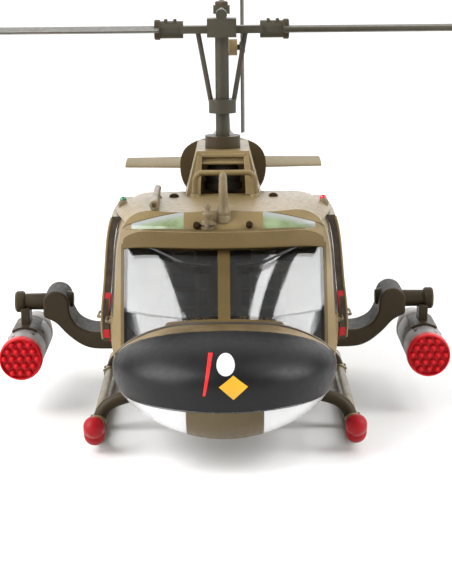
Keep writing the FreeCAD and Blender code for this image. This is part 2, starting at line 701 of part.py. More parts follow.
tail_hub = Part.makeCylinder(1.7, 1.8, HUB + Vec(size("tail_hub_start"), 0, 0), Vec(1, 0, 0))
shaft_length = size("tail_hub_start") - 1
tail_shaft = Part.makeCylinder(size("tail_shaft_radius"), shaft_length, HUB + Vec(1, 0, 0), Vec(1, 0, 0))
TAIL_HUB = tail_hub.fuse(tail_shaft).removeSplitter()
feature("tail_rotor_hub", TAIL_HUB)


def tail_blade(side):
    root, tip = side * 1.2, side * size("tail_rotor_radius")
    wires = []
    for z, scale in ((root, 0.9), (tip, 1.0)):
        ellipse = Part.Ellipse(Vec(0, 0, 0), size("tail_chord") * scale / 2, 0.45)
        shape = ellipse.toShape()
        shape.Placement = FreeCAD.Placement(HUB + Vec(size("tail_hub_start") + 0.9, 0, z),
                                            FreeCAD.Rotation(Vec(0, 0, 1), 80))
        wires.append(Part.Wire(shape))
    return Part.makeLoft(wires, True, True).cut(TAIL_HUB)


feature("tail_rotor_blades", Part.makeCompound([largest(tail_blade(side)) for side in (1, -1)]))


# ---------------------------------------------------------------- skids

SKID_X = size("skid_offset")
SKID_Z = size("skid_level")


def skid_tube():
    """A skid tube that sweeps up at the toe, on a flat wear shoe that rests on the ground."""
    radius = size("skid_radius")
    front, rear = size("skid_front"), size("skid_rear")
    level_end = (SKID_X, front + 7, SKID_Z)
    bend_end = (SKID_X - 0.35, front + 3, SKID_Z + 0.75)
    tube = rod(level_end, (SKID_X, rear, SKID_Z), radius)
    bend = rod(level_end, bend_end, radius)
    toe = rod(bend_end, (SKID_X - 0.4, front - 1, SKID_Z + 2.6), radius)
    joints = [ball(level_end, radius), ball(bend_end, radius)]
    heel = ball((SKID_X, rear, SKID_Z), radius)
    shoe = box(SKID_X - 0.8, SKID_X + 0.8, front + 8, rear - 3, 0, SKID_Z)
    return tube.fuse([bend, toe, heel, shoe] + joints).removeSplitter()


def toe_cap():
    """A rounded red plug on the skid's toe."""
    front = size("skid_front")
    start = (SKID_X - 0.35, front - 0.4, SKID_Z + 2.2)
    end = (SKID_X - 0.45, front - 2.6, SKID_Z + 4.1)
    return rod(start, end, 2.1).fuse([ball(start, 2.1), ball(end, 2.1)])


SKID = skid_tube()
CAP = toe_cap()
SKID = largest(SKID.cut(CAP))
feature("skid_tube_left", SKID)
feature("skid_tube_right", mirrored(SKID))
feature("toe_caps", Part.makeCompound([largest(CAP), mirrored(largest(CAP))]))

BODY_BLOCK = cabin_block(0).common(box(-40, 40, 6, size("cabin_end"), -5, 60))


def strut(station):
    """One half of a cross tube, which curves down and out from the belly to the skid."""
    radius = size("strut_radius")
    y = along(station)
    start = Vec(15, y, 7.6)
    path = Part.BezierCurve()
    path.setPoles([start, Vec(22.2, y, 7.0), Vec(25.8, y, 5.6), Vec(SKID_X - 0.2, y, SKID_Z)])
    wire = Part.Wire(path.toShape())
    circle = Part.Circle(start, path.tangent(0)[0], radius)
    return wire.makePipeShell([Part.Wire(circle.toShape())], True, False)


for end_name, strut_station in (("front", size("front_strut_station")), ("rear", size("rear_strut_station"))):
    leg = strut(strut_station).cut(SKID).cut(BODY_BLOCK).cut(REAR)
    feature(end_name + "_strut_left", largest(leg))
    feature(end_name + "_strut_right", mirrored(largest(leg)))


# ---------------------------------------------------------------- rocket pods on their arms

POD_X = size("pod_offset")
POD_Z = size("pod_level")
ARM_S = size("arm_station")


def weapon_arm():
    """The arm that curves up from the cabin's side to a knuckle, cross tube and pod strut."""
    bottom, height = size("arm_bottom"), size("arm_height")
    top = bottom + height
    knuckle_x, knuckle_z = size("knuckle_offset"), 22.0

    def corner(x, z):
        return Vec(x, along(ARM_S), z)

    edges = [
        Part.makeLine(corner(22, bottom), corner(29.6, bottom)),
        Part.Arc(corner(29.6, bottom), corner(33.7, 13.7), corner(37, 17.6)).toShape(),
        Part.makeLine(corner(37, 17.6), corner(39.4, 18.9)),
        Part.makeLine(corner(39.4, 18.9), corner(39.4, knuckle_z)),
        Part.Arc(corner(39.4, knuckle_z), corner(knuckle_x, 24.7), corner(33.8, knuckle_z)).toShape(),
        Part.Arc(corner(33.8, knuckle_z), corner(32.7, 17.4), corner(29.6, top)).toShape(),
        Part.makeLine(corner(29.6, top), corner(22, top)),
        Part.makeLine(corner(22, top), corner(22, bottom))]
    plate = Part.Face(Part.Wire(edges)).extrude(Vec(0, size("arm_depth"), 0))
    boss = rod((33, ARM_S + 5, knuckle_z), (34.6, ARM_S + 5, knuckle_z), 1.9)
    tube = rod((39, ARM_S + 3, knuckle_z), (44.4, ARM_S + 3, knuckle_z), 1.9)
    flange = rod((44.2, ARM_S + 3, knuckle_z + 0.1), (45.8, ARM_S + 3, knuckle_z + 0.1), 2.3)
    strap = box(42.3, 44.4, ARM_S + 1, ARM_S + 5, 15.4, knuckle_z)
    saddle = box(41.2, 45.4, ARM_S - 3, ARM_S + 10, 15.6, 17.3)
    return plate.fuse([boss, tube, flange, strap, saddle]).removeSplitter()


def rocket_pod():
    """The launcher's barrel, which narrows behind its straight part."""
    radius, front = size("pod_radius"), size("pod_front")
    straight = rod((POD_X, front, POD_Z), (POD_X, front + 24, POD_Z), radius)
    tail = cone((POD_X, front + 24, POD_Z), (POD_X, front + size("pod_length"), POD_Z), radius, 3.2)
    return straight.fuse(tail).removeSplitter()


def cap_domes():
    """Nineteen dome centres on a triangular grid, as (across, up) offsets."""
    pitch = size("pod_cap_radius") * 0.385
    rows = ((2, 3), (1, 4), (0, 5), (-1, 4), (-2, 3))
    return [((column - (count - 1) / 2) * pitch, row * pitch * math.sqrt(3) / 2)
            for row, count in rows for column in range(count)]


def pod_cap():
    """The red front cover with its raised rim and rocket noses."""
    front, radius, depth = size("pod_front"), size("pod_cap_radius"), size("pod_cap_depth")
    disc = rod((POD_X, front - depth, POD_Z), (POD_X, front - 0.02, POD_Z), radius)
    dish = rod((POD_X, front - depth - 1, POD_Z), (POD_X, front - depth + 0.6, POD_Z), radius - 0.4)
    disc = disc.cut(dish)
    domes = []
    for across, up in cap_domes():
        base = (POD_X + across, front - depth + 0.7, POD_Z + up)
        domes.append(rod(base, (base[0], base[1] - 0.75, base[2]), 0.68))
        domes.append(ball((base[0], base[1] - 0.75, base[2]), 0.68))
    return disc.fuse(domes).removeSplitter()


POD = rocket_pod()
POD_CAP = largest(pod_cap())
ARM = largest(weapon_arm().cut(BODY_BLOCK).cut(POD))
feature("weapon_arm_left", ARM)
feature("weapon_arm_right", mirrored(ARM))
feature("rocket_pod_left", POD)
feature("rocket_pod_right", mirrored(POD))
feature("pod_caps", Part.makeCompound([POD_CAP, mirrored(POD_CAP)]))


# ---------------------------------------------------------------- checks and export

doc.recompute()
problems = [item.Label for item in doc.Objects if {"Invalid", "Error"} & set(item.State)]
problems += [item.Label for item in SUBPARTS if item.Shape.isNull() or not item.Shape.isValid()]
if problems:
    raise RuntimeError("failed objects: " + ", ".join(problems))
os.makedirs("parts", exist_ok=True)
for item in SUBPARTS:
    item.Shape.exportStep(f"parts/{item.Label}.step")
print(len(SUBPARTS), "sub-parts written")
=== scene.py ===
import math

import bmesh
import bpy
from mathutils import Matrix, Vector
from mathutils.bvhtree import BVHTree


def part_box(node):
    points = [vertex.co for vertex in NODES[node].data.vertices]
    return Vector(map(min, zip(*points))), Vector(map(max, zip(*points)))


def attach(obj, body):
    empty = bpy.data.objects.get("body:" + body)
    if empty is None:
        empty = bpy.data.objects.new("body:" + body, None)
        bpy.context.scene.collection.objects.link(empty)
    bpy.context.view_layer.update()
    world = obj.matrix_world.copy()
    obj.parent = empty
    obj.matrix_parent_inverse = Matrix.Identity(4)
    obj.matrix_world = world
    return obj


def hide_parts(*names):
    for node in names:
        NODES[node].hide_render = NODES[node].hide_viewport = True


# Paints the toy helicopter's CAD pieces, adds its small pieces and sets up the studio.

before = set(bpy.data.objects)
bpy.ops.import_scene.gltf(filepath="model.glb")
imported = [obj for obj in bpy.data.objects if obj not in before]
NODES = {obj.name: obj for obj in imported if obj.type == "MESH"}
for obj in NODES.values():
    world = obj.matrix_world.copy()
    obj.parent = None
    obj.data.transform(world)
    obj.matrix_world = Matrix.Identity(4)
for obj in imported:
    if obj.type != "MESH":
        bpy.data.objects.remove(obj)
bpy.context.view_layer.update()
MM = 0.001
HALF_LENGTH = 128
BODY = "fuselage"
SIDES = (("left", 1), ("right", -1))


def depth(station):
    """The y in metres of a station, a distance in mm aft of the nose tip."""
    return (station - HALF_LENGTH) * MM


def at(x, station, z):
    """A point in metres from a place in mm."""
    return Vector((x * MM, depth(station), z * MM))


def spread(start, end, count):
    return [start + (end - start) * k / (count - 1) for k in range(count)]


def round_angles(count):
    return [2 * math.pi * k / count for k in range(count)]


# ---------------------------------------------------------------- camera, lights and floor

def look_from(position, pitch_down, roll):
    camera = bpy.data.cameras.new("camera")
    camera.lens = 106.7
    camera.sensor_width = 36
    camera.clip_start = 0.01
    camera.clip_end = 30
    eye = bpy.data.objects.new("camera", camera)
    eye.location = position
    pitch = Matrix.Rotation(math.radians(90 - pitch_down), 4, "X")
    eye.rotation_euler = (pitch @ Matrix.Rotation(math.radians(roll), 4, "Z")).to_euler()
    bpy.context.scene.collection.objects.link(eye)
    bpy.context.scene.camera = eye


def softbox(name, position, width, height, watts, target=(0, -0.04, 0.03)):
    lamp = bpy.data.lights.new(name, "AREA")
    lamp.shape = "RECTANGLE"
    lamp.size = width
    lamp.size_y = height
    lamp.energy = watts
    holder = bpy.data.objects.new(name, lamp)
    holder.location = position
    aim = Vector(target) - Vector(position)
    holder.rotation_euler = aim.to_track_quat("-Z", "Y").to_euler()
    bpy.context.scene.collection.objects.link(holder)


def show_white_behind(tree, background):
    """The world is plain white where it is seen directly, and dim where it only lights the model."""
    seen = tree.nodes.new("ShaderNodeBackground")
    seen.inputs["Color"].default_value = (1, 1, 1, 1)
    path = tree.nodes.new("ShaderNodeLightPath")
    choose = tree.nodes.new("ShaderNodeMixShader")
    tree.links.new(path.outputs["Is Camera Ray"], choose.inputs["Fac"])
    tree.links.new(background.outputs["Background"], choose.inputs[1])
    tree.links.new(seen.outputs["Background"], choose.inputs[2])
    tree.links.new(choose.outputs["Shader"], tree.nodes["World Output"].inputs["Surface"])


def studio():
    look_from(at(0.4, -309, 100), pitch_down=11.6, roll=-0.55)
    softbox("softbox_left", (-0.60, -0.30, 0.46), width=0.68, height=0.7, watts=10.5)
    softbox("softbox_right", (0.70, -0.24, 0.46), width=0.48, height=0.7, watts=7.2)
    softbox("strip_right", (0.30, -0.16, 0.76), width=0.30, height=0.085, watts=0.6,
            target=(0.01, -0.1, 0.035))
    softbox("softbox_floor", (0, 2.0, 1.6), width=3.4, height=2.4, watts=34, target=(0, 2.0, 0))
    world = bpy.data.worlds.new("studio")
    world.use_nodes = True
    bpy.context.scene.world = world
    background = world.node_tree.nodes["Background"]
    background.inputs["Color"].default_value = (1, 1, 1, 1)
    background.inputs["Strength"].default_value = 0.33
    show_white_behind(world.node_tree, background)
    bpy.context.scene.view_settings.view_transform = "Standard"
    half = 4
    floor_corners = [(-half, -half, 0), (half, -half, 0), (half, half, 0), (-half, half, 0)]
    floor = mesh_piece("floor", floor_corners, [(0, 1, 2, 3)], None)
    floor.location.z = -0.0001
    floor.data.materials.append(plain_floor())
    sheet_corners = [(-half, half, -0.2), (half, half, -0.2), (half, half, half), (-half, half, half)]
    backdrop = mesh_piece("backdrop", sheet_corners, [(0, 1, 2, 3)], None)
    backdrop.data.materials.append(white_backdrop())


# ---------------------------------------------------------------- mesh helpers
# A store is a pair of lists, the points in metres and the faces. Sections, radii and profiles are in mm.

def mesh_piece(name, points, faces, body=BODY):
    mesh = bpy.data.meshes.new(name)
    mesh.from_pydata([tuple(p) for p in points], [], faces)
    mesh.update()
    piece = bpy.data.objects.new(name, mesh)
    bpy.context.scene.collection.objects.link(piece)
    if body:
        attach(piece, body)
    return piece


def grid_faces(rows, columns, first=0, closed=False):
    """Quads over a grid of points, whose columns may close into rings."""
    faces = []
    for row in range(rows - 1):
        near = first + row * columns
        far = near + columns
        for column in range(columns if closed else columns - 1):
            beside = (column + 1) % columns
            faces.append((near + column, near + beside, far + beside, far + column))
    return faces


def tube_faces(faces, first, rings, count):
    """Adds the faces of a row of rings, with both ends capped."""
    faces += grid_faces(rings, count, first, closed=True)
    last = first + (rings - 1) * count
    faces.append(tuple(range(first, first + count)))
    faces.append(tuple(reversed(range(last, last + count))))


def frame_along(path):
    """A point, side and up vector for each point of a path, with no twist."""
    result = []
    up = Vector((0, 0, 1))
    for i, point in enumerate(path):
        ahead = path[min(i + 1, len(path) - 1)] - path[max(i - 1, 0)]
        ahead.normalize()
        if i == 0 and abs(ahead.z) > 0.9:
            up = Vector((0, 1, 0))
        side = ahead.cross(up).normalized()
        up = side.cross(ahead).normalized()
        result.append((point, side, up))
    return result


def sweep(store, path, section_at):
    """A section swept along a path. section_at(i) gives (side, up) offsets at its point i."""
    points, faces = store
    first = len(points)
    for i, (centre, side, up) in enumerate(frame_along(path)):
        points += [centre + (side * a + up * b) * MM for a, b in section_at(i)]
    tube_faces(faces, first, len(path), (len(points) - first) // len(path))


def bar(store, path, radius, count=18):
    ring = [(radius * math.cos(angle), radius * math.sin(angle)) for angle in round_angles(count)]
    sweep(store, path, lambda i: ring)


def lathe(store, centre, direction, profile, count=40):
    """A profile of (along, radius) turned about an axis."""
    axis = Vector(direction).normalized()
    helper = Vector((0, 0, 1)) if abs(axis.z) < 0.9 else Vector((1, 0, 0))
    side = axis.cross(helper).normalized()
    up = side.cross(axis)
    points, faces = store
    first = len(points)
    for along, radius in profile:
        for angle in round_angles(count):
            outward = side * math.cos(angle) + up * math.sin(angle)
            points.append(centre + (axis * along + outward * max(radius, 0.001)) * MM)
    tube_faces(faces, first, len(profile), count)


def dome(base, height, radius, start=0.1, steps=8):
    """The last rows of a lathe profile: a rounded end that stands height above base."""
    return [(base + height * math.sin(a), radius * math.cos(a)) for a in spread(start, 1.5, steps)]


def rounded(points, radius, steps):
    """A polyline whose inner corners are rounded."""
    path = [points[0]]
    for before, corner, after in zip(points, points[1:], points[2:]):
        reach = min(radius * MM, (before - corner).length * 0.49, (after - corner).length * 0.49)
        start = corner + (before - corner).normalized() * reach
        end = corner + (after - corner).normalized() * reach
        for t in spread(0, 1, steps + 1):
            path.append(start * (1 - t) ** 2 + corner * 2 * t * (1 - t) + end * t ** 2)
    path.append(points[-1])
    return path


def prism(store, outline, start, end, lean=0):
    """An (x, z) outline extruded between two stations, moved aft by lean for each mm of height."""
    points, faces = store
    first = len(points)
    for station in (start, end):
        points += [at(x, station + lean * z, z) for x, z in outline]
    tube_faces(faces, first, 2, len(outline))


def block(store, low, high):
    """A box between two (x, station, z) corners."""
    outline = [(low[0], low[2]), (high[0], low[2]), (high[0], high[2]), (low[0], high[2])]
    prism(store, outline, low[1], high[1])


def arc(centre, radius, start, end, steps):
    return [(centre[0] + radius * math.cos(math.radians(a)), centre[1] + radius * math.sin(math.radians(a)))
            for a in spread(start, end, steps)]


def smooth_curve(knots, steps):
    """A curve through 2-D knots (Catmull-Rom), with the ends held."""
    knots = [Vector(k) for k in knots]
    padded = [knots[0]] + knots + [knots[-1]]
    result = []
    for a, b, c, d in zip(padded, padded[1:], padded[2:], padded[3:]):
        for k in range(steps):
            t = k / steps
            result.append(0.5 * (2 * b + (c - a) * t + (2 * a - 5 * b + 4 * c - d) * t ** 2
                                 + (3 * b - a - 3 * c + d) * t ** 3))
    return [tuple(p) for p in result + [knots[-1]]]


def finish_mesh(piece, angle, bevel):
    """Outward normals, an optional bevel, and smooth shading that breaks at sharp edges."""
    work = bmesh.new()
    work.from_mesh(piece.data)
    bmesh.ops.recalc_face_normals(work, faces=work.faces)
    work.to_mesh(piece.data)
    work.free()
    if bevel:
        modifier = piece.modifiers.new("bevel", "BEVEL")
        modifier.width = bevel * MM
        modifier.segments = 3
        modifier.limit_method = "ANGLE"
        modifier.angle_limit = math.radians(angle)
    for polygon in piece.data.polygons:
        polygon.use_smooth = True
    piece.data.set_sharp_from_angle(angle=math.radians(angle))


def build(name, maker, material, slot, *choices, body=BODY, replaces=(), angle=40, bevel=0, mirror=False):
    """One piece: maker(store, *choices) adds its points and faces, and mirror puts it on the right side."""
    points, faces = [], []
    maker((points, faces), *choices)
    if mirror:
        points = [Vector((-p.x, p.y, p.z)) for p in points]
    piece = mesh_piece(name, points, faces, body)
    finish_mesh(piece, angle, bevel)
    piece.data.materials.append(MATERIALS[material])
    if replaces:
        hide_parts(*replaces)


# ---------------------------------------------------------------- finding places on the model

TREES = {}


def surface_point(node, origin, direction, lift=0):
    """Where a ray meets a CAD node, lifted in mm off its surface, or None."""
    if node not in TREES:
        mesh = NODES[node].data
        corners = [v.co.copy() for v in mesh.vertices]
        TREES[node] = BVHTree.FromPolygons(corners, [tuple(p.vertices) for p in mesh.polygons])
    heading = Vector(direction)
    hit, normal = TREES[node].ray_cast(origin, heading)[:2]
    if hit is None:
        return None
    if normal.dot(heading) > 0:
        normal = -normal
    return hit + normal * lift * MM


def side_point(node, side, station, z):
    """The point of a node's left (1) or right (-1) face at a station and height."""
    return surface_point(node, at(60 * side, station, z), (-side, 0, 0))


def front_point(node, x, z, lift=0):
    return surface_point(node, at(x, -60, z), (0, 1, 0), lift)


def top_point(node, x, station):
    return surface_point(node, at(x, station, 60), (0, 0, -1))


def front_run(node, half_width, count, z):
    """The points across a node's front at one height."""
    hits = [front_point(node, x, z) for x in spread(-half_width, half_width, count)]
    return [hit for hit in hits if hit is not None]


def roof_at(x, station, rise=0):
    """The cabin roof's surface at a place, raised in mm."""
    return top_point("cabin_roof", x, station) + Vector((0, 0, rise * MM))


# ---------------------------------------------------------------- materials

class Shader:
    """A small builder for node materials, with every length in metres."""

    def __init__(self, name, colour, roughness, coat=0.0, specular=0.5):
        self.material = bpy.data.materials.new(name)
        self.material.use_nodes = True
        self.tree = self.material.node_tree
        self.surface = self.tree.nodes["Principled BSDF"]
        self.set("Base Color", (*colour, 1))
        self.set("Roughness", roughness)
        self.set("Coat Weight", coat)
        self.set("Coat Roughness", 0.12)
        self.set("Specular IOR Level", specular)
        self.place = self.add("ShaderNodeTexCoord").outputs["Object"]

    def set(self, socket, value):
        self.surface.inputs[socket].default_value = value

    def add(self, kind, **settings):
        node = self.tree.nodes.new(kind)
        for key, value in settings.items():
            setattr(node, key, value)
        return node

    def link(self, start, end):
        self.tree.links.new(start, end)

    def feed(self, node, socket, value):
        if isinstance(value, bpy.types.NodeSocket):
            self.link(value, node.inputs[socket])
        else:
            node.inputs[socket].default_value = value

    def math(self, operation, a, b=0.0):
        node = self.add("ShaderNodeMath", operation=operation)
        self.feed(node, 0, a)
        self.feed(node, 1, b)
        return node.outputs[0]

    def noise(self, scale, detail=3.0, roughness=0.55, stretch=None):
        node = self.add("ShaderNodeTexNoise")
        node.inputs["Scale"].default_value = scale
        node.inputs["Detail"].default_value = detail
        node.inputs["Roughness"].default_value = roughness
        source = self.place
        if stretch:
            mapping = self.add("ShaderNodeMapping")
            mapping.inputs["Scale"].default_value = stretch
            self.link(source, mapping.inputs["Vector"])
            source = mapping.outputs["Vector"]
        self.link(source, node.inputs["Vector"])
        return node.outputs["Fac"]

    def ramp(self, value, low, high):
        """0 below low, 1 above high, smooth between."""
        node = self.add("ShaderNodeMapRange", interpolation_type="SMOOTHSTEP", clamp=True)
        self.link(value, node.inputs["Value"])
        node.inputs["From Min"].default_value = low
        node.inputs["From Max"].default_value = high
        return node.outputs["Result"]

    def mix(self, factor, first, second):
        node = self.add("ShaderNodeMix", data_type="RGBA")
        self.feed(node, 0, factor)
        self.feed(node, 6, first if isinstance(first, bpy.types.NodeSocket) else (*first, 1))
        self.feed(node, 7, second if isinstance(second, bpy.types.NodeSocket) else (*second, 1))
        return node.outputs[2]

    def axis(self, letter):
        node = self.add("ShaderNodeSeparateXYZ")
        self.link(self.place, node.inputs[0])
        return node.outputs[letter]

    def painted_colour(self):
        return self.surface.inputs["Base Color"].links[0].from_socket

    def paint(self, colour):
        self.link(colour, self.surface.inputs["Base Color"])

    def vary_roughness(self, low, high, scale=900):
        node = self.add("ShaderNodeMapRange")
        self.link(self.noise(scale, 4), node.inputs["Value"])
        node.inputs["From Min"].default_value = 0.3
        node.inputs["From Max"].default_value = 0.7
        node.inputs["To Min"].default_value = low
        node.inputs["To Max"].default_value = high
        self.link(node.outputs["Result"], self.surface.inputs["Roughness"])

    def bump(self, height, strength, distance):
        node = self.add("ShaderNodeBump")
        node.inputs["Strength"].default_value = strength
        node.inputs["Distance"].default_value = distance
        self.link(height, node.inputs["Height"])
        self.link(node.outputs["Normal"], self.surface.inputs["Normal"])


def scaled(colour, factor):
    return tuple(min(c * factor, 1) for c in colour)


def line_mask(shader, value, places, width, total=None):
    """1 within width of any of the places along one axis, or where an earlier mask is 1."""
    for place in places:
        near = shader.math("COMPARE", value, place)
        near.node.inputs[2].default_value = width
        total = near if total is None else shader.math("MAXIMUM", total, near)
    return total


PANEL_LINE = 0.12 * MM


def painted(name, lit, shaded, roughness=0.4, panel_stations=(), panel_levels=(), scuffs=0.5, specular=0.28):
    """Sprayed paint: cloudy colour, fine grain, small scuffs and engraved panel lines."""
    shader = Shader(name, lit, roughness, specular=specular)
    colour = shader.mix(shader.ramp(shader.noise(55, 4), 0.32, 0.68), shaded, lit)
    speckle = shader.ramp(shader.noise(2600, 2), 0.55, 0.75)
    colour = shader.mix(shader.math("MULTIPLY", speckle, 0.25), colour, scaled(lit, 1.5))
    wear = shader.math("MULTIPLY", shader.ramp(shader.noise(330, 6, 0.7), 0.66, 0.72), scuffs)
    colour = shader.mix(wear, colour, scaled(shaded, 0.45))
    height = shader.math("MULTIPLY", shader.noise(3200, 3), 0.35)
    lines = line_mask(shader, shader.axis("Y"), [depth(station) for station in panel_stations], PANEL_LINE)
    lines = line_mask(shader, shader.axis("Z"), [level * MM for level in panel_levels], PANEL_LINE, lines)
    if lines is not None:
        colour = shader.mix(shader.math("MULTIPLY", lines, 0.75), colour, scaled(shaded, 0.25))
        height = shader.math("SUBTRACT", height, lines)
    shader.paint(colour)
    shader.vary_roughness(roughness - 0.07, roughness + 0.1)
    shader.bump(height, 0.28, 0.12 * MM)
    return shader


OLIVE_LIT = (0.225, 0.163, 0.075)
OLIVE_SHADED = (0.165, 0.117, 0.050)
# painted shade: the dark brown given to the cargo doors' forward-facing edges
EDGE_SHADE_BROWN = (0.040, 0.028, 0.016)
RED = (0.56, 0.006, 0.012)


def olive(name="olive_paint", **lines):
    return painted(name, OLIVE_LIT, OLIVE_SHADED, roughness=0.36, **lines)


def nose_paint():
    """Satin black, with a hand-masked bowed edge where the tan sill starts; the sill is paler towards its
    sides as a painted highlight.
    """
    shader = Shader("nose_black_paint", (0.005, 0.005, 0.006), 0.38, specular=0.26)
    ragged = shader.math("MULTIPLY", shader.math("SUBTRACT", shader.noise(700, 5, 0.7), 0.5), 1.1 * MM)
    x = shader.axis("X")
    bow = shader.math("MULTIPLY", shader.math("MULTIPLY", x, x), 14.0)
    behind = shader.math("ADD", shader.math("SUBTRACT", shader.axis("Y"), bow), ragged)
    sill = shader.ramp(behind, depth(13.0), depth(13.2))
    scratches = shader.ramp(shader.noise(240, 5, 0.75, (1, 1, 5)), 0.735, 0.75)
    patches = shader.ramp(shader.noise(60, 4), 0.35, 0.65)
    black = shader.mix(patches, (0.004, 0.004, 0.0045), (0.008, 0.008, 0.0085))
    black = shader.mix(shader.math("MULTIPLY", scratches, 0.35), black, (0.32, 0.31, 0.30))
    cloud = shader.ramp(shader.noise(140, 4), 0.35, 0.65)
    tan = shader.mix(cloud, (0.085, 0.058, 0.022), (0.13, 0.09, 0.04))
    side_lit_tan = shader.mix(cloud, (0.20, 0.142, 0.070), (0.31, 0.235, 0.14))
    # painted highlight: the tan sill pales away from the centre line
    tan = shader.mix(shader.ramp(shader.math("ABSOLUTE", x), 6 * MM, 16 * MM), tan, side_lit_tan)
    shader.paint(shader.mix(sill, black, tan))
    shader.vary_roughness(0.34, 0.46)
    shader.bump(shader.noise(1500, 4), 0.16, 0.15 * MM)
    return shader


def clear_plastic(name, colour, roughness=0.03, transmission=1.0):
    shader = Shader(name, colour, roughness)
    shader.set("Transmission Weight", transmission)
    shader.set("IOR", 1.56)
    haze = shader.ramp(shader.noise(420, 5, 0.7), 0.62, 0.8)
    shader.paint(shader.mix(haze, colour, scaled(colour, 0.8)))
    shader.vary_roughness(roughness, roughness + 0.06, 300)
    shader.bump(shader.noise(90, 2), 0.05, 0.2 * MM)
    return shader


def roof_glass():
    """Pale green tinted panes, greener towards the front, with a painted sheen that whitens the rear edge."""
    shader = Shader("green_plastic", (0.5, 0.6, 0.4), 0.12)
    shader.set("Transmission Weight", 0.12)
    rear = shader.ramp(shader.axis("Y"), depth(35.4), depth(37.0))
    patches = shader.ramp(shader.noise(160, 3), 0.35, 0.7)
    tint = shader.mix(patches, (0.12, 0.16, 0.065), (0.27, 0.34, 0.19))
    # painted sheen: the rear edge is mixed towards white
    shader.paint(shader.mix(rear, tint, (0.34, 0.36, 0.34)))
    shader.vary_roughness(0.08, 0.2, 200)
    return shader


def moulded(name, colour, roughness, bump=0.1, coat=0.0, vary=0.8, specular=0.5):
    """Moulded plastic with a slight texture and uneven gloss."""
    shader = Shader(name, colour, roughness, coat=coat, specular=specular)
    cloud = shader.ramp(shader.noise(120, 4), 0.3, 0.7)
    shader.paint(shader.mix(cloud, scaled(colour, vary), colour))
    shader.vary_roughness(max(roughness - 0.08, 0.05), roughness + 0.08)
    shader.bump(shader.noise(1200, 3), bump, 0.2 * MM)
    return shader


def cargo_door_paint():
    """Olive door skin; its forward-facing leading edge is coloured dark brown as painted shade, and carries
    red bands.
    """
    shader = olive("cargo_door_paint", panel_levels=(24.2, 41.6), panel_stations=(49.4, 62.1, 74.6))
    skin = shader.painted_colour()
    z = shader.axis("Z")
    edge = shader.math("LESS_THAN", shader.axis("Y"), depth(48.35))
    patches = shader.ramp(shader.noise(500, 4), 0.4, 0.6)
    # painted shade: the leading edge, which faces forward, is coloured dark brown in patches
    colour = shader.mix(edge, skin, shader.mix(patches, EDGE_SHADE_BROWN, scaled(EDGE_SHADE_BROWN, 1.5)))
    high_band = 26.2 * MM
    bands = shader.math("MAXIMUM", line_mask(shader, z, [high_band], 0.6 * MM),
                        line_mask(shader, z, [18.0 * MM], 0.9 * MM))
    inner = shader.math("LESS_THAN", shader.math("ABSOLUTE", shader.axis("X")), 24.3 * MM)
    inner_low = shader.math("MULTIPLY", inner, shader.math("LESS_THAN", z, high_band))
    red = shader.math("MULTIPLY", edge, shader.math("MAXIMUM", bands, inner_low))
    shader.paint(shader.mix(red, colour, (0.55, 0.015, 0.025)))
    return shader


def lip_paint():
    """Olive, darker than the body paint, that darkens further towards the lip's underside: painted shade
    under the lip.
    """
    shader = painted("lip_paint", (0.135, 0.095, 0.042), (0.095, 0.066, 0.027), 0.45, specular=0.14)
    # painted shade: the colour darkens below the lip's upper edge
    height = shader.ramp(shader.axis("Z"), 39.0 * MM, 41.4 * MM)
    shader.paint(shader.mix(height, (0.105, 0.072, 0.028), shader.painted_colour()))
    return shader


def arm_paint():
    """Dark brown olive, nearly black behind the arm's front edge as painted shade."""
    shader = painted("arm_paint", (0.055, 0.041, 0.023), (0.040, 0.030, 0.017), 0.5, scuffs=0.4,
                     specular=0.12)
    behind = shader.ramp(shader.axis("Y"), depth(60.7), depth(61.3))
    # painted shade: everything behind the front edge is mixed to near black
    shader.paint(shader.mix(behind, shader.painted_colour(), (0.012, 0.010, 0.007)))
    return shader


def white_backdrop():
    """A lit white sheet behind the model."""
    shader = Shader("white_backdrop", (1, 1, 1), 0.9)
    shader.set("Emission Color", (1, 1, 1, 1))
    shader.set("Emission Strength", 1.05)
    return shader.material


def plain_floor():
    shader = Shader("pale_floor", (0.86, 0.86, 0.86), 0.7)
    shader.vary_roughness(0.65, 0.75, 30)
    return shader.material


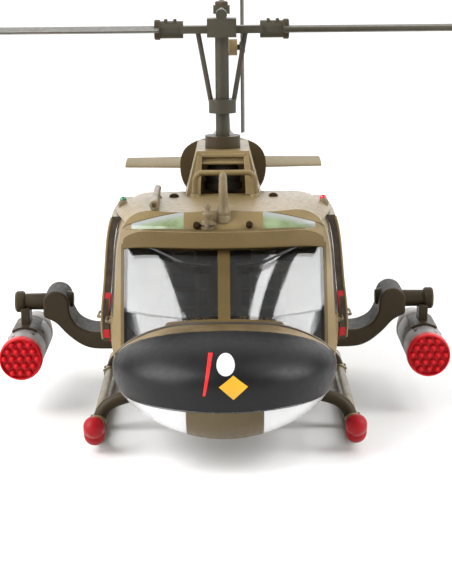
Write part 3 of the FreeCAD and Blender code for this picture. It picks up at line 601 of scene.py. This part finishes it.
SHADERS = {
    "olive": olive(),
    "roof": olive("roof_paint", panel_stations=(37.25, 56, 66)),
    "hull": painted("hull_paint", (0.105, 0.077, 0.038), (0.080, 0.057, 0.026), specular=0.2,
                    panel_stations=(34, 48, 62)),
    "screen_frame": painted("screen_frame_paint", (0.105, 0.070, 0.024), (0.080, 0.052, 0.018), specular=0.2),
    "lip": lip_paint(),
    "strut": painted("strut_paint", (0.052, 0.038, 0.020), (0.036, 0.026, 0.013), 0.42, specular=0.16),
    "rear": olive("rear_paint", panel_stations=(84, 97, 111.8), panel_levels=(16.2, 36)),
    "boom": olive("boom_paint", panel_stations=(124, 145, 166, 204)),
    "nose": nose_paint(),
    "cargo": cargo_door_paint(),
    "olive_worn": painted("worn_olive_paint", (0.25, 0.19, 0.10), (0.10, 0.072, 0.036), 0.38, scuffs=0.9),
    "arm": arm_paint(),
    "khaki": painted("khaki_paint", (0.20, 0.163, 0.098), (0.16, 0.128, 0.072), 0.6, specular=0.12),
    "dark_olive": painted("dark_olive_paint", (0.058, 0.044, 0.024), (0.036, 0.027, 0.015), 0.45, scuffs=0.3,
                          specular=0.16),
    "rotor": painted("rotor_paint", (0.06, 0.052, 0.034), (0.04, 0.035, 0.022), 0.45),
    "pod": painted("pod_grey_paint", (0.33, 0.305, 0.295), (0.22, 0.20, 0.195), 0.45, scuffs=0.8),
    "clear": clear_plastic("clear_plastic", (0.97, 0.98, 0.98)),
    "chin": clear_plastic("chin_plastic", (0.96, 0.96, 0.96), 0.06, 0.45),
    "green_glass": roof_glass(),
    "red": moulded("red_plastic", RED, 0.42, 0.12, vary=0.85, specular=0.2),
    "toe_red": moulded("toe_red_plastic", (0.33, 0.006, 0.010), 0.42, 0.12, vary=0.85, specular=0.2),
    "red_lamp": moulded("red_lamp_plastic", (0.6, 0.01, 0.02), 0.2, 0.05, coat=0.5),
    "green_lamp": moulded("green_lamp_plastic", (0.01, 0.2, 0.07), 0.2, 0.05, coat=0.5),
    "interior": moulded("interior_plastic", (0.022, 0.021, 0.019), 0.55, 0.2),
    "seat": moulded("seat_plastic", (0.075, 0.060, 0.040), 0.55, 0.25),
    "black": moulded("black_trim", (0.01, 0.01, 0.01), 0.4),
    "burnt": moulded("burnt_metal", (0.10, 0.08, 0.06), 0.5, 0.4),
    "vent": moulded("vent_shadow", (0.022, 0.014, 0.006), 0.7, 0.2, specular=0.05),
    "webbing": moulded("harness_webbing", (0.055, 0.046, 0.032), 0.7, 0.4),
    "gasket": moulded("rubber_seal", (0.030, 0.022, 0.014), 0.5, 0.15),
    "nose_gloss": moulded("nose_bead_black", (0.03, 0.03, 0.031), 0.25, 0.05, coat=0.4),
    "yellow_ink": moulded("yellow_ink", (0.78, 0.42, 0.02), 0.45),
    "white_ink": moulded("white_ink", (0.72, 0.73, 0.78), 0.45),
    "red_ink": moulded("red_ink", (0.8, 0.01, 0.01), 0.45),
}
MATERIALS = {key: shader.material for key, shader in SHADERS.items()}

# the CAD nodes by material, where it isn't olive
NODE_MATERIALS = {
    "nose": ("nose_cap",),
    "hull": ("lower_hull", "engine_cowl"),
    "roof": ("cabin_roof",),
    "rear": ("rear_fuselage",),
    "boom": ("tail_boom",),
    "cargo": ("cargo_door_left", "cargo_door_right"),
    "khaki": ("elevators",),
    "screen_frame": ("windshield_frame",),
    "dark_olive": ("weapon_arm_left", "weapon_arm_right"),
    "pod": ("rocket_pod_left", "rocket_pod_right"),
    "red": ("pod_caps", "toe_caps"),
    "chin": ("chin_windows",),
    "green_glass": ("roof_windows",),
    "clear": ("windshield_left", "windshield_right", "crew_window_left", "crew_window_right",
              "cargo_window_left", "cargo_window_right"),
    "black": ("wipers",),
    "seat": ("pilot_seat", "copilot_seat", "cabin_bench"),
    "interior": ("instrument_panel", "control_sticks", "cockpit_floor", "rear_bulkhead"),
    "strut": ("front_strut_left", "front_strut_right", "rear_strut_left", "rear_strut_right", "mast_bearing"),
    "red_lamp": ("position_lamp_left",),
    "green_lamp": ("position_lamp_right",),
    "burnt": ("exhaust_pipe",),
    "rotor": ("rotor_mast", "rotor_hub", "main_blades", "stabiliser_bar", "pitch_links", "tail_rotor_hub",
              "tail_rotor_blades", "tail_skid"),
}


def dress_nodes():
    material_of = {name: key for key, names in NODE_MATERIALS.items() for name in names}
    for name, node in NODES.items():
        node.data.materials.clear()
        node.data.materials.append(MATERIALS[material_of.get(name, "olive")])
        for polygon in node.data.polygons:
            polygon.use_smooth = True


# ---------------------------------------------------------------- weapon arms, pods and caps

def box_in_mm(node):
    """A CAD node's lowest and highest corner, in mm."""
    return [[value / MM for value in corner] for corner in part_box(node)]


POD_LOW, POD_HIGH = box_in_mm("rocket_pod_left")
POD_X = (POD_LOW[0] + POD_HIGH[0]) / 2
POD_Z = (POD_LOW[2] + POD_HIGH[2]) / 2
POD_RADIUS = (POD_HIGH[2] - POD_LOW[2]) / 2
POD_FRONT = POD_LOW[1] + HALF_LENGTH
POD_LENGTH = POD_HIGH[1] - POD_LOW[1]
CAP_RADIUS = 4.62
CAP_FRONT = POD_FRONT - 2.6
DOME_PITCH = CAP_RADIUS * 0.385
ARM_FRONT = 60
ARM_REAR = 71.6
PIN_Z = 21.9


def arm_plate(store):
    """The crank-shaped arm, from its root in the hull to the round knuckle over the pod."""
    under = [(21.9, 11.8), (28, 11.8), (31.2, 12.7), (34.2, 14.9), (36.8, 17.6), (39.2, 18.9)]
    knuckle = [(39.5, 19.2), (39.5, 21.6)] + arc((36.8, 21.8), 2.9, 10, 172, 12)
    over = [(33.9, 21.6), (33.6, 19.4), (32.4, 17.3), (30.5, 16.1), (28.2, 15.6), (23.4, 15.6)]
    prism(store, smooth_curve(under, 6) + knuckle + smooth_curve(over, 6), ARM_FRONT, ARM_REAR)


def arm_fittings(store):
    lathe(store, at(39.2, ARM_FRONT + 3.2, PIN_Z), (1, 0, 0),
          [(0, 1.85), (4.5, 1.8), (4.6, 2.15), (4.9, 2.35), (6.2, 2.35), (6.6, 2.0)])
    lathe(store, at(33.2, ARM_FRONT + 5.4, PIN_Z), (1, 0, 0), [(0, 1.4), (0.3, 1.7), (1.2, 1.9), (2, 1.9)])


def arm_strap(store):
    outline = [(42.5, 20.8), (44.4, 20.8), (44.3, 17.6), (43.6, 15.4), (42.7, 15.4), (42.4, 17.4)]
    prism(store, outline, ARM_FRONT - 0.4, ARM_FRONT + 4.8)


def arm_saddle(store):
    middle = (POD_X, POD_Z)
    outline = arc(middle, POD_RADIUS + 0.55, 55, 125, 9) + arc(middle, POD_RADIUS + 0.02, 125, 55, 9)
    prism(store, outline, ARM_FRONT - 3, ARM_FRONT + 9)


def pod_barrel(store):
    """The grooved barrel, its tapered tail and the hollow tail end."""
    r = POD_RADIUS
    profile = [(0, r * 0.98), (0.4, r)]
    for groove in (7.5, 20.5):
        bottom = r * 0.975
        profile += [(groove, r), (groove + 0.15, bottom), (groove + 0.5, bottom), (groove + 0.65, r)]
    profile += [(23.6, r), (26.2, r * 0.93), (30.0, r * 0.80), (POD_LENGTH - 0.2, r * 0.73)]
    profile += [(POD_LENGTH, r * 0.70), (POD_LENGTH, r * 0.52), (POD_LENGTH - 1.2, r * 0.5)]
    lathe(store, at(POD_X, POD_FRONT, POD_Z), (0, 1, 0), profile, 56)


def pod_marks(store):
    """Screw heads scattered over the barrel, each at a station and an angle."""
    screws = ((52.6, 62), (54.6, 118), (57.2, 100), (57.6, 35), (62, 140), (66.5, 60), (70, 108), (70, 20))
    for station, degrees in screws:
        angle = math.radians(degrees)
        outward = Vector((math.cos(angle), 0, math.sin(angle)))
        base = at(POD_X, station, POD_Z) + outward * (POD_RADIUS - 0.05) * MM
        lathe(store, base, outward, [(0, 0.42), (0.1, 0.42), (0.13, 0.34)], 14)


def pod_cap(store):
    """A shallow cup with a rounded rim."""
    r = CAP_RADIUS
    profile = [(2.58, r * 0.99), (2.4, r), (0.9, r), (0.5, r * 0.99), (0.15, r * 0.965), (0, r * 0.93),
               (0.1, r * 0.905), (0.5, r * 0.885), (0.9, r * 0.875), (0.95, r * 0.5)]
    lathe(store, at(POD_X, CAP_FRONT, POD_Z), (0, 1, 0), profile, 60)


def pod_domes(store):
    for row, count in ((2, 3), (1, 4), (0, 5), (-1, 4), (-2, 3)):
        z = POD_Z + row * DOME_PITCH * math.sqrt(3) / 2
        for column in range(count):
            x = POD_X + (column - (count - 1) / 2) * DOME_PITCH
            profile = [(0, 0.70), (0.4, 0.69)] + dome(0.4, 0.68, 0.68)
            lathe(store, at(x, CAP_FRONT + 1.0, z), (0, -1, 0), profile, 18)


def weapons():
    for side, sign in SIDES:
        mirror = sign < 0
        build(f"arm_plate_{side}", arm_plate, "arm", "dark_olive", replaces=[f"weapon_arm_{side}"],
              angle=35, bevel=0.45, mirror=mirror)
        build(f"arm_fittings_{side}", arm_fittings, "dark_olive", "dark_olive", mirror=mirror)
        build(f"arm_strap_{side}", arm_strap, "dark_olive", "dark_olive", bevel=0.2, mirror=mirror)
        build(f"arm_saddle_{side}", arm_saddle, "dark_olive", "dark_olive", mirror=mirror)
        build(f"pod_barrel_{side}", pod_barrel, "pod", "pod_grey", replaces=[f"rocket_pod_{side}"],
              angle=50, mirror=mirror)
        build(f"pod_marks_{side}", pod_marks, "black", "dark_trim", mirror=mirror)
        build(f"pod_cap_{side}", pod_cap, "red", "red_plastic", angle=60, mirror=mirror,
              replaces=[] if mirror else ["pod_caps"])
        build(f"pod_domes_{side}", pod_domes, "red", "red_plastic", angle=60, mirror=mirror)


# ---------------------------------------------------------------- skids

SKID_X = 26.3
SKID_Z = 1.7
STRUT_STATIONS = (38, 80)


def toe_plug(store):
    """A capsule with a groove round its middle."""
    radius, length = 2.1, 3.6
    middle = length * 0.55
    rear = [(-radius * math.sin(a), radius * math.cos(a)) for a in spread(1.5, 0, 8)]
    groove = [(middle - 0.4, radius), (middle - 0.1, radius * 0.80), (middle + 0.1, radius * 0.80),
              (middle + 0.4, radius)]
    front = dome(length, radius * 0.9, radius, start=0)
    lathe(store, at(SKID_X - 0.35, 21.9, 3.4), (-0.03, -0.72, 0.66), rear + groove + front, 36)


def skid_fittings(store):
    """Clamp collars with two screws each, where the struts meet the skid."""
    for station in STRUT_STATIONS:
        lathe(store, at(SKID_X, station - 2.4, SKID_Z), (0, 1, 0),
              [(0, 1.35), (0.2, 1.58), (4.6, 1.58), (4.8, 1.35)], 32)
        for shift in (-1.5, 1.5):
            lathe(store, at(SKID_X + 1.25, station + shift, SKID_Z + 0.5), (1, 0, 0.5),
                  [(0, 0.35), (0.4, 0.35), (0.55, 0.2)], 8)


def skids():
    for side, sign in SIDES:
        mirror = sign < 0
        build(f"toe_plug_{side}", toe_plug, "toe_red", "red_plastic", angle=60, mirror=mirror,
              replaces=[] if mirror else ["toe_caps"])
        build(f"skid_fittings_{side}", skid_fittings, "olive", "olive_paint", mirror=mirror)


# ---------------------------------------------------------------- roof fittings

UP = (0, 0, 1)


def hoop(store):
    """The handrail: a bent wire with a collar round each foot."""
    half, station, middle, top = 6.4, 60, 0.4, 50.4
    foot = roof_at(half, station).z / MM - 0.3
    corners = [(middle - half, foot), (middle - half, top), (middle + half, top), (middle + half, foot)]
    bar(store, rounded([at(x, station, z) for x, z in corners], 1.9, 8), 0.60)
    for side in (-1, 1):
        lathe(store, at(middle + side * half, station, foot), UP, [(0, 1.2), (0.5, 1.15), (0.9, 0.8)], 20)


def mast_rod(store):
    """The tall rod on the roof's centre line, with a domed tip and a wide ringed base."""
    foot = roof_at(0, 35.4, -0.9)
    height = (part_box("roof_probes")[1][2] - foot.z) / MM
    base = [(0, 1.50), (1.3, 1.52), (1.5, 1.40), (1.8, 1.52), (2.3, 1.50), (2.6, 1.28), (3.5, 0.98),
            (4.3, 0.92)]
    tip = [(height - 1.0, 0.80), (height - 0.6, 0.70), (height - 0.25, 0.45), (height, 0.1)]
    lathe(store, foot, UP, base + tip, 32)


def mast_flare(store):
    """The thin web that braces the rod from behind."""
    points, faces = store
    first = len(points)
    outline = [(35.6, 43.6), (40.2, 43.6), (40.2, 45.9), (37.8, 46.6), (35.6, 48.2)]
    for x in (-0.35, 0.35):
        points += [at(x, station, z) for station, z in outline]
    tube_faces(faces, first, 2, len(outline))


def finial(store):
    """The small probe on the header: stacked rings and a ball, on three screws."""
    x, station = -3.1, 33.7
    foot = roof_at(x, station, -0.7)
    lathe(store, foot, UP, [
        (0, 1.4), (0.7, 1.5), (0.9, 1.1), (1.2, 1.5), (1.7, 1.4), (1.9, 0.9), (2.4, 0.8), (2.8, 1.1),
        (3.3, 1.1), (3.6, 0.6), (4.2, 0.5), (4.6, 0.7), (5.0, 0.6), (5.3, 0.2)], 22)
    ring = 1.35
    for degrees in (20, 140, 260):
        angle = math.radians(degrees)
        screw = at(x + ring * math.cos(angle), station + ring * math.sin(angle), foot.z / MM + 0.4)
        lathe(store, screw, UP, [(0, 0.4), (0.9, 0.4), (1.1, 0.2)], 10)


def side_tube(store):
    """The slender tube on the right of the roof, open in front, on two short feet."""
    x = -14
    start, end = at(x, 38.6, 46.7), at(x, 60, 47.3)
    length = (end - start).length / MM
    mouth = [(0.6, 0.35), (0, 0.55), (0, 0.92), (0.2, 0.98), (3.0, 0.98), (3.3, 0.80)]
    lathe(store, start, end - start, mouth + [(length - 0.6, 0.72), (length - 0.2, 0.60), (length, 0.3)], 28)
    for station, height in ((41, 46.5), (58, 47.0)):
        foot = roof_at(x, station, -0.3)
        lathe(store, foot, UP, [(0, 1.0), (0.5, 0.9), (0.8, 0.6), (height - foot.z / MM, 0.5)], 18)


# each vent's x, station and radius, and how far its mouth leans forward
VENTS = ((-10.6, 61, 1.1, 0.1), (10.8, 61, 1.1, 0.1), (-5.4, 34.1, 0.85, 0.7), (5.2, 34.1, 0.85, 0.7))


def vent_hoods(store):
    for x, station, radius, lean in VENTS:
        profile = [(-0.4, radius), (0.1, radius)] + dome(0.1, radius * 0.72, radius, start=0.15)
        lathe(store, roof_at(x, station), (0, -lean, 1), profile, 26)


def vent_mouths(store):
    for x, station, radius, lean in VENTS:
        r = radius * 0.80
        seat = roof_at(x, station) + Vector((0, -0.55 * radius, 0.4 * lean * radius - 0.3)) * MM
        lathe(store, seat, (0, -0.35 - lean, 1), [(0, r), (0.6, r)] + dome(0.6, r * 0.5, r, steps=6), 22)


LAMP_X = 21.3


def lamp_base(store):
    """A teardrop fairing that runs forward and down from the lamp."""
    lathe(store, roof_at(LAMP_X, 57.9, 0.2), (0.12, -0.9, -0.18), [
        (0, 0.2), (0.3, 0.7), (0.9, 1.05), (1.8, 1.02), (2.8, 0.7), (3.6, 0.3), (4.0, 0.05)], 26)


def lamp_lens(store):
    profile = [(0, 0.72), (0.4, 0.72)] + dome(0.4, 0.6, 0.72)
    lathe(store, roof_at(LAMP_X, 57.2, 0.6), (0.25, -0.35, 1), profile, 24)


def roof_pieces():
    build("hoop", hoop, "olive", "olive_paint", replaces=["handrail"], angle=60)
    build("mast_rod", mast_rod, "olive_worn", "olive_paint", replaces=["roof_probes"], angle=50)
    build("mast_flare", mast_flare, "olive", "olive_paint", bevel=0.2)
    build("finial", finial, "olive_worn", "olive_paint", angle=50)
    build("side_tube", side_tube, "olive_worn", "olive_paint", angle=50)
    for side, colour in (("left", "red_lamp"), ("right", "green_lamp")):
        mirror = side == "right"
        build(f"lamp_lens_{side}", lamp_lens, colour, colour, mirror=mirror, angle=60,
              replaces=[f"position_lamp_{side}"])
        build(f"lamp_base_{side}", lamp_base, "olive_worn", "olive_paint", mirror=mirror, angle=50)
    build("vent_hoods", vent_hoods, "olive", "olive_paint", replaces=["roof_vents"], angle=60)
    build("vent_mouths", vent_mouths, "vent", "dark_trim", angle=60)


# ---------------------------------------------------------------- nose and windshield

NOSE_HALF_WIDTH = 21.3


def header_lip(store):
    """The rounded lip over the windshield, leaning with its slope, its ends turned down."""
    half_width, half_thickness, half_height, lean = 19.8, 1.15, 1.65, 0.95
    path = [hit - Vector((0, 0, abs(hit.x / MM / half_width) ** 10 * MM))
            for hit in front_run("cabin_roof", half_width, 60, 40.95)]
    outline = []
    for angle in round_angles(28):
        c, s = math.cos(angle), math.sin(angle)
        rise = half_height * math.copysign(abs(s) ** 0.42, s)
        outline.append((half_thickness * math.copysign(abs(c) ** 0.42, c) - 0.72 - lean * rise, rise))

    def section(i):
        outward = abs(2 * i / (len(path) - 1) - 1)
        forward = 0.75 * outward ** 5
        taper = 1 - 0.25 * outward ** 12
        return [(ahead + forward, rise * taper) for ahead, rise in outline]

    sweep(store, path, section)


def nose_seam():
    """The upper edge of the nose where the windshield meets it, smoothed."""
    seam = []
    for x in spread(-NOSE_HALF_WIDTH, NOSE_HALF_WIDTH, 72):
        hits = (front_point("nose_cap", x, level) for level in spread(27.5, 14.5, 131))
        seam += [hit for hit in hits if hit is not None][:1]
    for turn in range(12):
        seam = [seam[0]] + [(a + b * 2 + c) / 4 for a, b, c in zip(seam, seam[1:], seam[2:])] + [seam[-1]]
    return seam


def windshield_gasket(store):
    bar(store, nose_seam(), 0.34, 10)


def nose_bead(store):
    """The thin bead along the black cap's lower edge."""
    bar(store, front_run("nose_cap", NOSE_HALF_WIDTH, 90, 13.68), 0.16, 10)


def decal(store, corners):
    """A four-cornered (x, z) patch laid on the nose."""
    points, faces = store
    steps = 12
    low_left, low_right, high_right, high_left = [Vector(corner) for corner in corners]
    for u in spread(0, 1, steps):
        for v in spread(0, 1, steps):
            low = low_left * (1 - u) + low_right * u
            high = high_left * (1 - u) + high_right * u
            place = low * (1 - v) + high * v
            points.append(front_point("nose_cap", place.x, place.y, 0.04))
    faces += grid_faces(steps, steps)


def round_decal(store, centre, radius):
    points, faces = store
    rings, count = 5, 28
    for ring in spread(0.02, 1, rings):
        for angle in round_angles(count):
            x = centre[0] + radius * ring * math.cos(angle)
            z = centre[1] + radius * ring * math.sin(angle)
            points.append(front_point("nose_cap", x, z, 0.04))
    faces += grid_faces(rings, count, closed=True)
    faces.append(tuple(range(count)))


def nose_pieces():
    build("header_lip", header_lip, "lip", "olive_paint", angle=60)
    build("windshield_gasket", windshield_gasket, "gasket", "dark_trim", angle=60)
    build("nose_bead", nose_bead, "nose_gloss", "nose_black", angle=60)
    leaning_bar = ((-4.1, 16.9), (-3.6, 16.9), (-2.2, 23.9), (-3.0, 23.9))
    kite = ((1.6, 16.2), (4.3, 18.6), (1.6, 20.6), (-1.1, 18.6))
    build("decal_bar", decal, "red_ink", "red_plastic", leaning_bar)
    build("decal_disc", round_decal, "white_ink", "pod_grey", (0.2, 22.2), 1.7)
    build("decal_kite", decal, "yellow_ink", "khaki_paint", kite)


# ---------------------------------------------------------------- rivets, seals, handles and panels

def rivets(store, node, side, places):
    """Rivet heads on one side of a node, at (station, z) places."""
    radius = 0.17
    outward = Vector((side, 0, 0))
    for station, z in places:
        hit = side_point(node, side, station, z)
        if hit is not None:
            lathe(store, hit - outward * 0.05 * MM, outward,
                  [(0, radius), (0.09, radius * 0.85), (0.15, radius * 0.4)], 8)


def body_rivets(store):
    # rows along the body: node, height, first and last station, and how many rivets
    long_rows = (("rear_fuselage", 15.2, 78, 108, 18), ("lower_hull", 10.4, 24, 74, 26),
                 ("tail_fin", 52, 222, 248, 12), ("engine_cowl", 47.6, 94, 114, 12),
                 ("transmission_fairing", 47, 65, 90, 14))
    for side in (-1, 1):
        for station in (77.6, 83, 85, 96, 98):
            rivets(store, "rear_fuselage", side, [(station, z) for z in spread(8, 42, 20)])
        for station in (123, 125, 144, 146, 165, 167, 203, 205):
            rivets(store, "tail_boom", side, [(station, z) for z in spread(26, 46, 15)])
        for node, z, start, end, count in long_rows:
            rivets(store, node, side, [(station, z) for station in spread(start, end, count)])


def window_seal(store, nodes, outline, side):
    """A thin bead round a window, along a (station, z) outline."""
    path = []
    steps = 8
    for (s0, z0), (s1, z1) in zip(outline, outline[1:] + outline[:1]):
        for k in range(steps):
            station, level = s0 + (s1 - s0) * k / steps, z0 + (z1 - z0) * k / steps
            hits = (side_point(node, side, station, level) for node in nodes)
            path += [hit for hit in hits if hit is not None][:1]
    bar(store, path + path[:1], 0.2, 8)


def grip(store, node, side, station, level, length):
    """A door handle: a bar that stands off the door on two round feet."""
    hit = side_point(node, side, station, level)
    out = Vector((side, 0, 0))
    half = Vector((0, length / 2 * MM, 0))
    stand = out * 0.8 * MM
    bar(store, rounded([hit - half, hit - half + stand, hit + half + stand, hit + half], 0.6, 5), 0.28, 10)
    for end in (-1, 1):
        lathe(store, hit + half * end, out, [(-0.2, 0.6), (0.1, 0.58), (0.2, 0.4)], 12)


def door_rim(store, node, side):
    """The rolled outer edge along a cargo door's front."""
    inset = Vector((-side * 0.1, -0.1, 0)) * MM
    bar(store, [side_point(node, side, 48.3, z) + inset for z in spread(16.8, 42.6, 30)], 0.32, 10)


CREW_WINDOW = [(35.2, 24.6), (39.7, 37.2), (41.3, 40.6), (44.6, 40.6), (44.6, 24.6)]


def door_pieces():
    for side, sign in SIDES:
        crew, cargo = f"crew_door_{side}", f"cargo_door_{side}"
        build(f"crew_seal_{side}", window_seal, "gasket", "dark_trim", [crew, f"crew_window_{side}"],
              CREW_WINDOW, sign, body=crew, angle=60)
        for number, (start, end) in enumerate(((52, 60.6), (63.6, 72.4)), 1):
            corners = [(start, 24.6), (start, 39.6), (end, 39.6), (end, 24.6)]
            build(f"cargo_seal_{number}_{side}", window_seal, "gasket", "dark_trim",
                  [cargo, f"cargo_window_{side}"], corners, sign, body=cargo, angle=60)
        build(f"crew_grip_{side}", grip, "olive_worn", "olive_paint", crew, sign, 44.6, 21.8, 4,
              body=crew, angle=60)
        build(f"cargo_grip_{side}", grip, "olive_worn", "olive_paint", cargo, sign, 52.6, 21.2, 5,
              body=cargo, angle=60)
    for side, sign in SIDES:
        cargo = f"cargo_door_{side}"
        build(f"door_rim_{side}", door_rim, "olive", "olive_paint", cargo, sign, body=cargo, angle=60)


def drive_cover(store):
    """The half-round cover over the tail drive shaft, along the boom's ridge."""
    rise = Vector((0, 0, 0.2)) * MM
    bar(store, [top_point("tail_boom", 0, station) + rise for station in spread(122, 218, 40)], 1.3, 20)


def drive_bands(store):
    for station in (130, 146, 162, 178, 194, 210):
        lathe(store, top_point("tail_boom", 0, station) + Vector((0, -0.6, 0.2)) * MM, (0, 1, 0),
              [(0, 1.3), (0.1, 1.5), (1.1, 1.5), (1.2, 1.3)], 24)


def fairing_front(store):
    """Posts each side of the housing's mouth, a ledge above it and a brace across it."""
    slope = 0.418
    front = 62.4 - 0.7 - 45.2 * slope
    for side in (-1, 1):
        outline = [(side * 4.9, 45.3), (side * 7.0, 45.3), (side * 5.5, 53.4), (side * 4.5, 53.4)]
        prism(store, outline, front, front + 1.3, slope)
    block(store, (-4.7, 65.0, 53.1), (4.7, 67.2, 53.8))
    bar(store, [at(-5.0, 65.2, 51.8), at(5.0, 65.2, 51.8)], 0.35, 10)


def gearbox_core(store):
    """The gearbox seen through the mouth: a ribbed round case."""
    lathe(store, at(0, 70.5, 45.6), UP, [
        (0, 4.2), (1.5, 4.2), (1.6, 3.8), (2.6, 3.8), (2.7, 4.1), (3.6, 4.1), (3.7, 3.6), (5.6, 3.2),
        (6.0, 2.4)], 36)


def exhaust_rings(store):
    start, end = at(0, 116.1, 45.6), at(0, 126, 46.6)
    axis = (end - start).normalized()
    for shift, radius in ((8.5, 4.52), (9.4, 4.55)):
        lathe(store, start + axis * shift * MM, axis,
              [(0, radius - 0.2), (0.1, radius), (0.5, radius), (0.6, radius - 0.2)], 40)


def seat_padding(store, node):
    """A cushion, a padded back in four rolls and a head pad on one crew seat."""
    low, high = box_in_mm(node)
    middle = (low[0] + high[0]) / 2
    half = (high[0] - low[0]) / 2 - 0.8
    front, rear = low[1] + HALF_LENGTH, high[1] + HALF_LENGTH
    pan_top = low[2] + 5.4
    block(store, (middle - half, front + 0.3, pan_top), (middle + half, rear - 2.0, pan_top + 1.0))
    for level in spread(pan_top + 2.2, high[2] - 6.2, 4):
        block(store, (middle - half, rear - 2.6, level - 1.6), (middle + half, rear - 1.8, level + 1.6))
    block(store, (middle - 1.9, rear - 2.5, high[2] - 2.4), (middle + 1.9, rear - 1.8, high[2] - 0.3))


def seat_harness(store, node):
    """Two shoulder straps, a lap strap and its buckle."""
    low, high = box_in_mm(node)
    middle = (low[0] + high[0]) / 2
    rear = high[1] + HALF_LENGTH
    cushion = low[2] + 6.5
    for strap in (middle - 2.6, middle + 2.6):
        block(store, (strap - 0.45, rear - 2.85, cushion), (strap + 0.45, rear - 2.5, high[2] - 3))
    block(store, (middle - 4.4, rear - 3.4, cushion + 0.1), (middle + 4.4, rear - 2.5, cushion + 0.5))
    block(store, (middle - 0.8, rear - 3.6, cushion + 0.1), (middle + 0.8, rear - 2.9, cushion + 1.3))


def rotor_bolts(store):
    """Retention bolts on the blade grips, a ring at each grip's end and a nut on the mast's top."""
    low, high = box_in_mm("rotor_hub")
    station = (low[1] + high[1]) / 2 + HALF_LENGTH
    for side in (-1, 1):
        for x, shift in ((10.2, -0.9), (10.2, 0.9), (12.2, -0.9), (12.2, 0.9)):
            lathe(store, at(side * x, station + shift, 81.5), UP, [(0, 0.42), (0.8, 0.42), (1.0, 0.25)], 6)
        lathe(store, at(side * 13.4, station, 80.2), (side, 0, 0),
              [(0, 2.05), (0.2, 2.2), (1.1, 2.2), (1.3, 2.0)], 32)
    lathe(store, at(0, station, 85.2), UP, [(0, 1.6), (0.9, 1.6), (1.1, 1.2)], 6)


def details():
    build("body_rivets", body_rivets, "olive", "olive_paint", angle=60)
    door_pieces()
    for node in ("pilot_seat", "copilot_seat"):
        build(f"{node}_padding", seat_padding, "interior", "interior_dark", node, bevel=0.35)
        build(f"{node}_harness", seat_harness, "webbing", "khaki_paint", node, bevel=0.08)
    build("rotor_bolts", rotor_bolts, "dark_olive", "rotor_dark", body="main_rotor", angle=30)
    build("drive_cover", drive_cover, "boom", "olive_paint", angle=60)
    build("drive_bands", drive_bands, "dark_olive", "dark_olive", angle=50)
    build("fairing_front", fairing_front, "olive", "olive_paint", bevel=0.15)
    build("gearbox_core", gearbox_core, "interior", "interior_dark", angle=50)
    build("exhaust_rings", exhaust_rings, "burnt", "burnt_metal", angle=50)


studio()
dress_nodes()
weapons()
skids()
roof_pieces()
nose_pieces()
details()
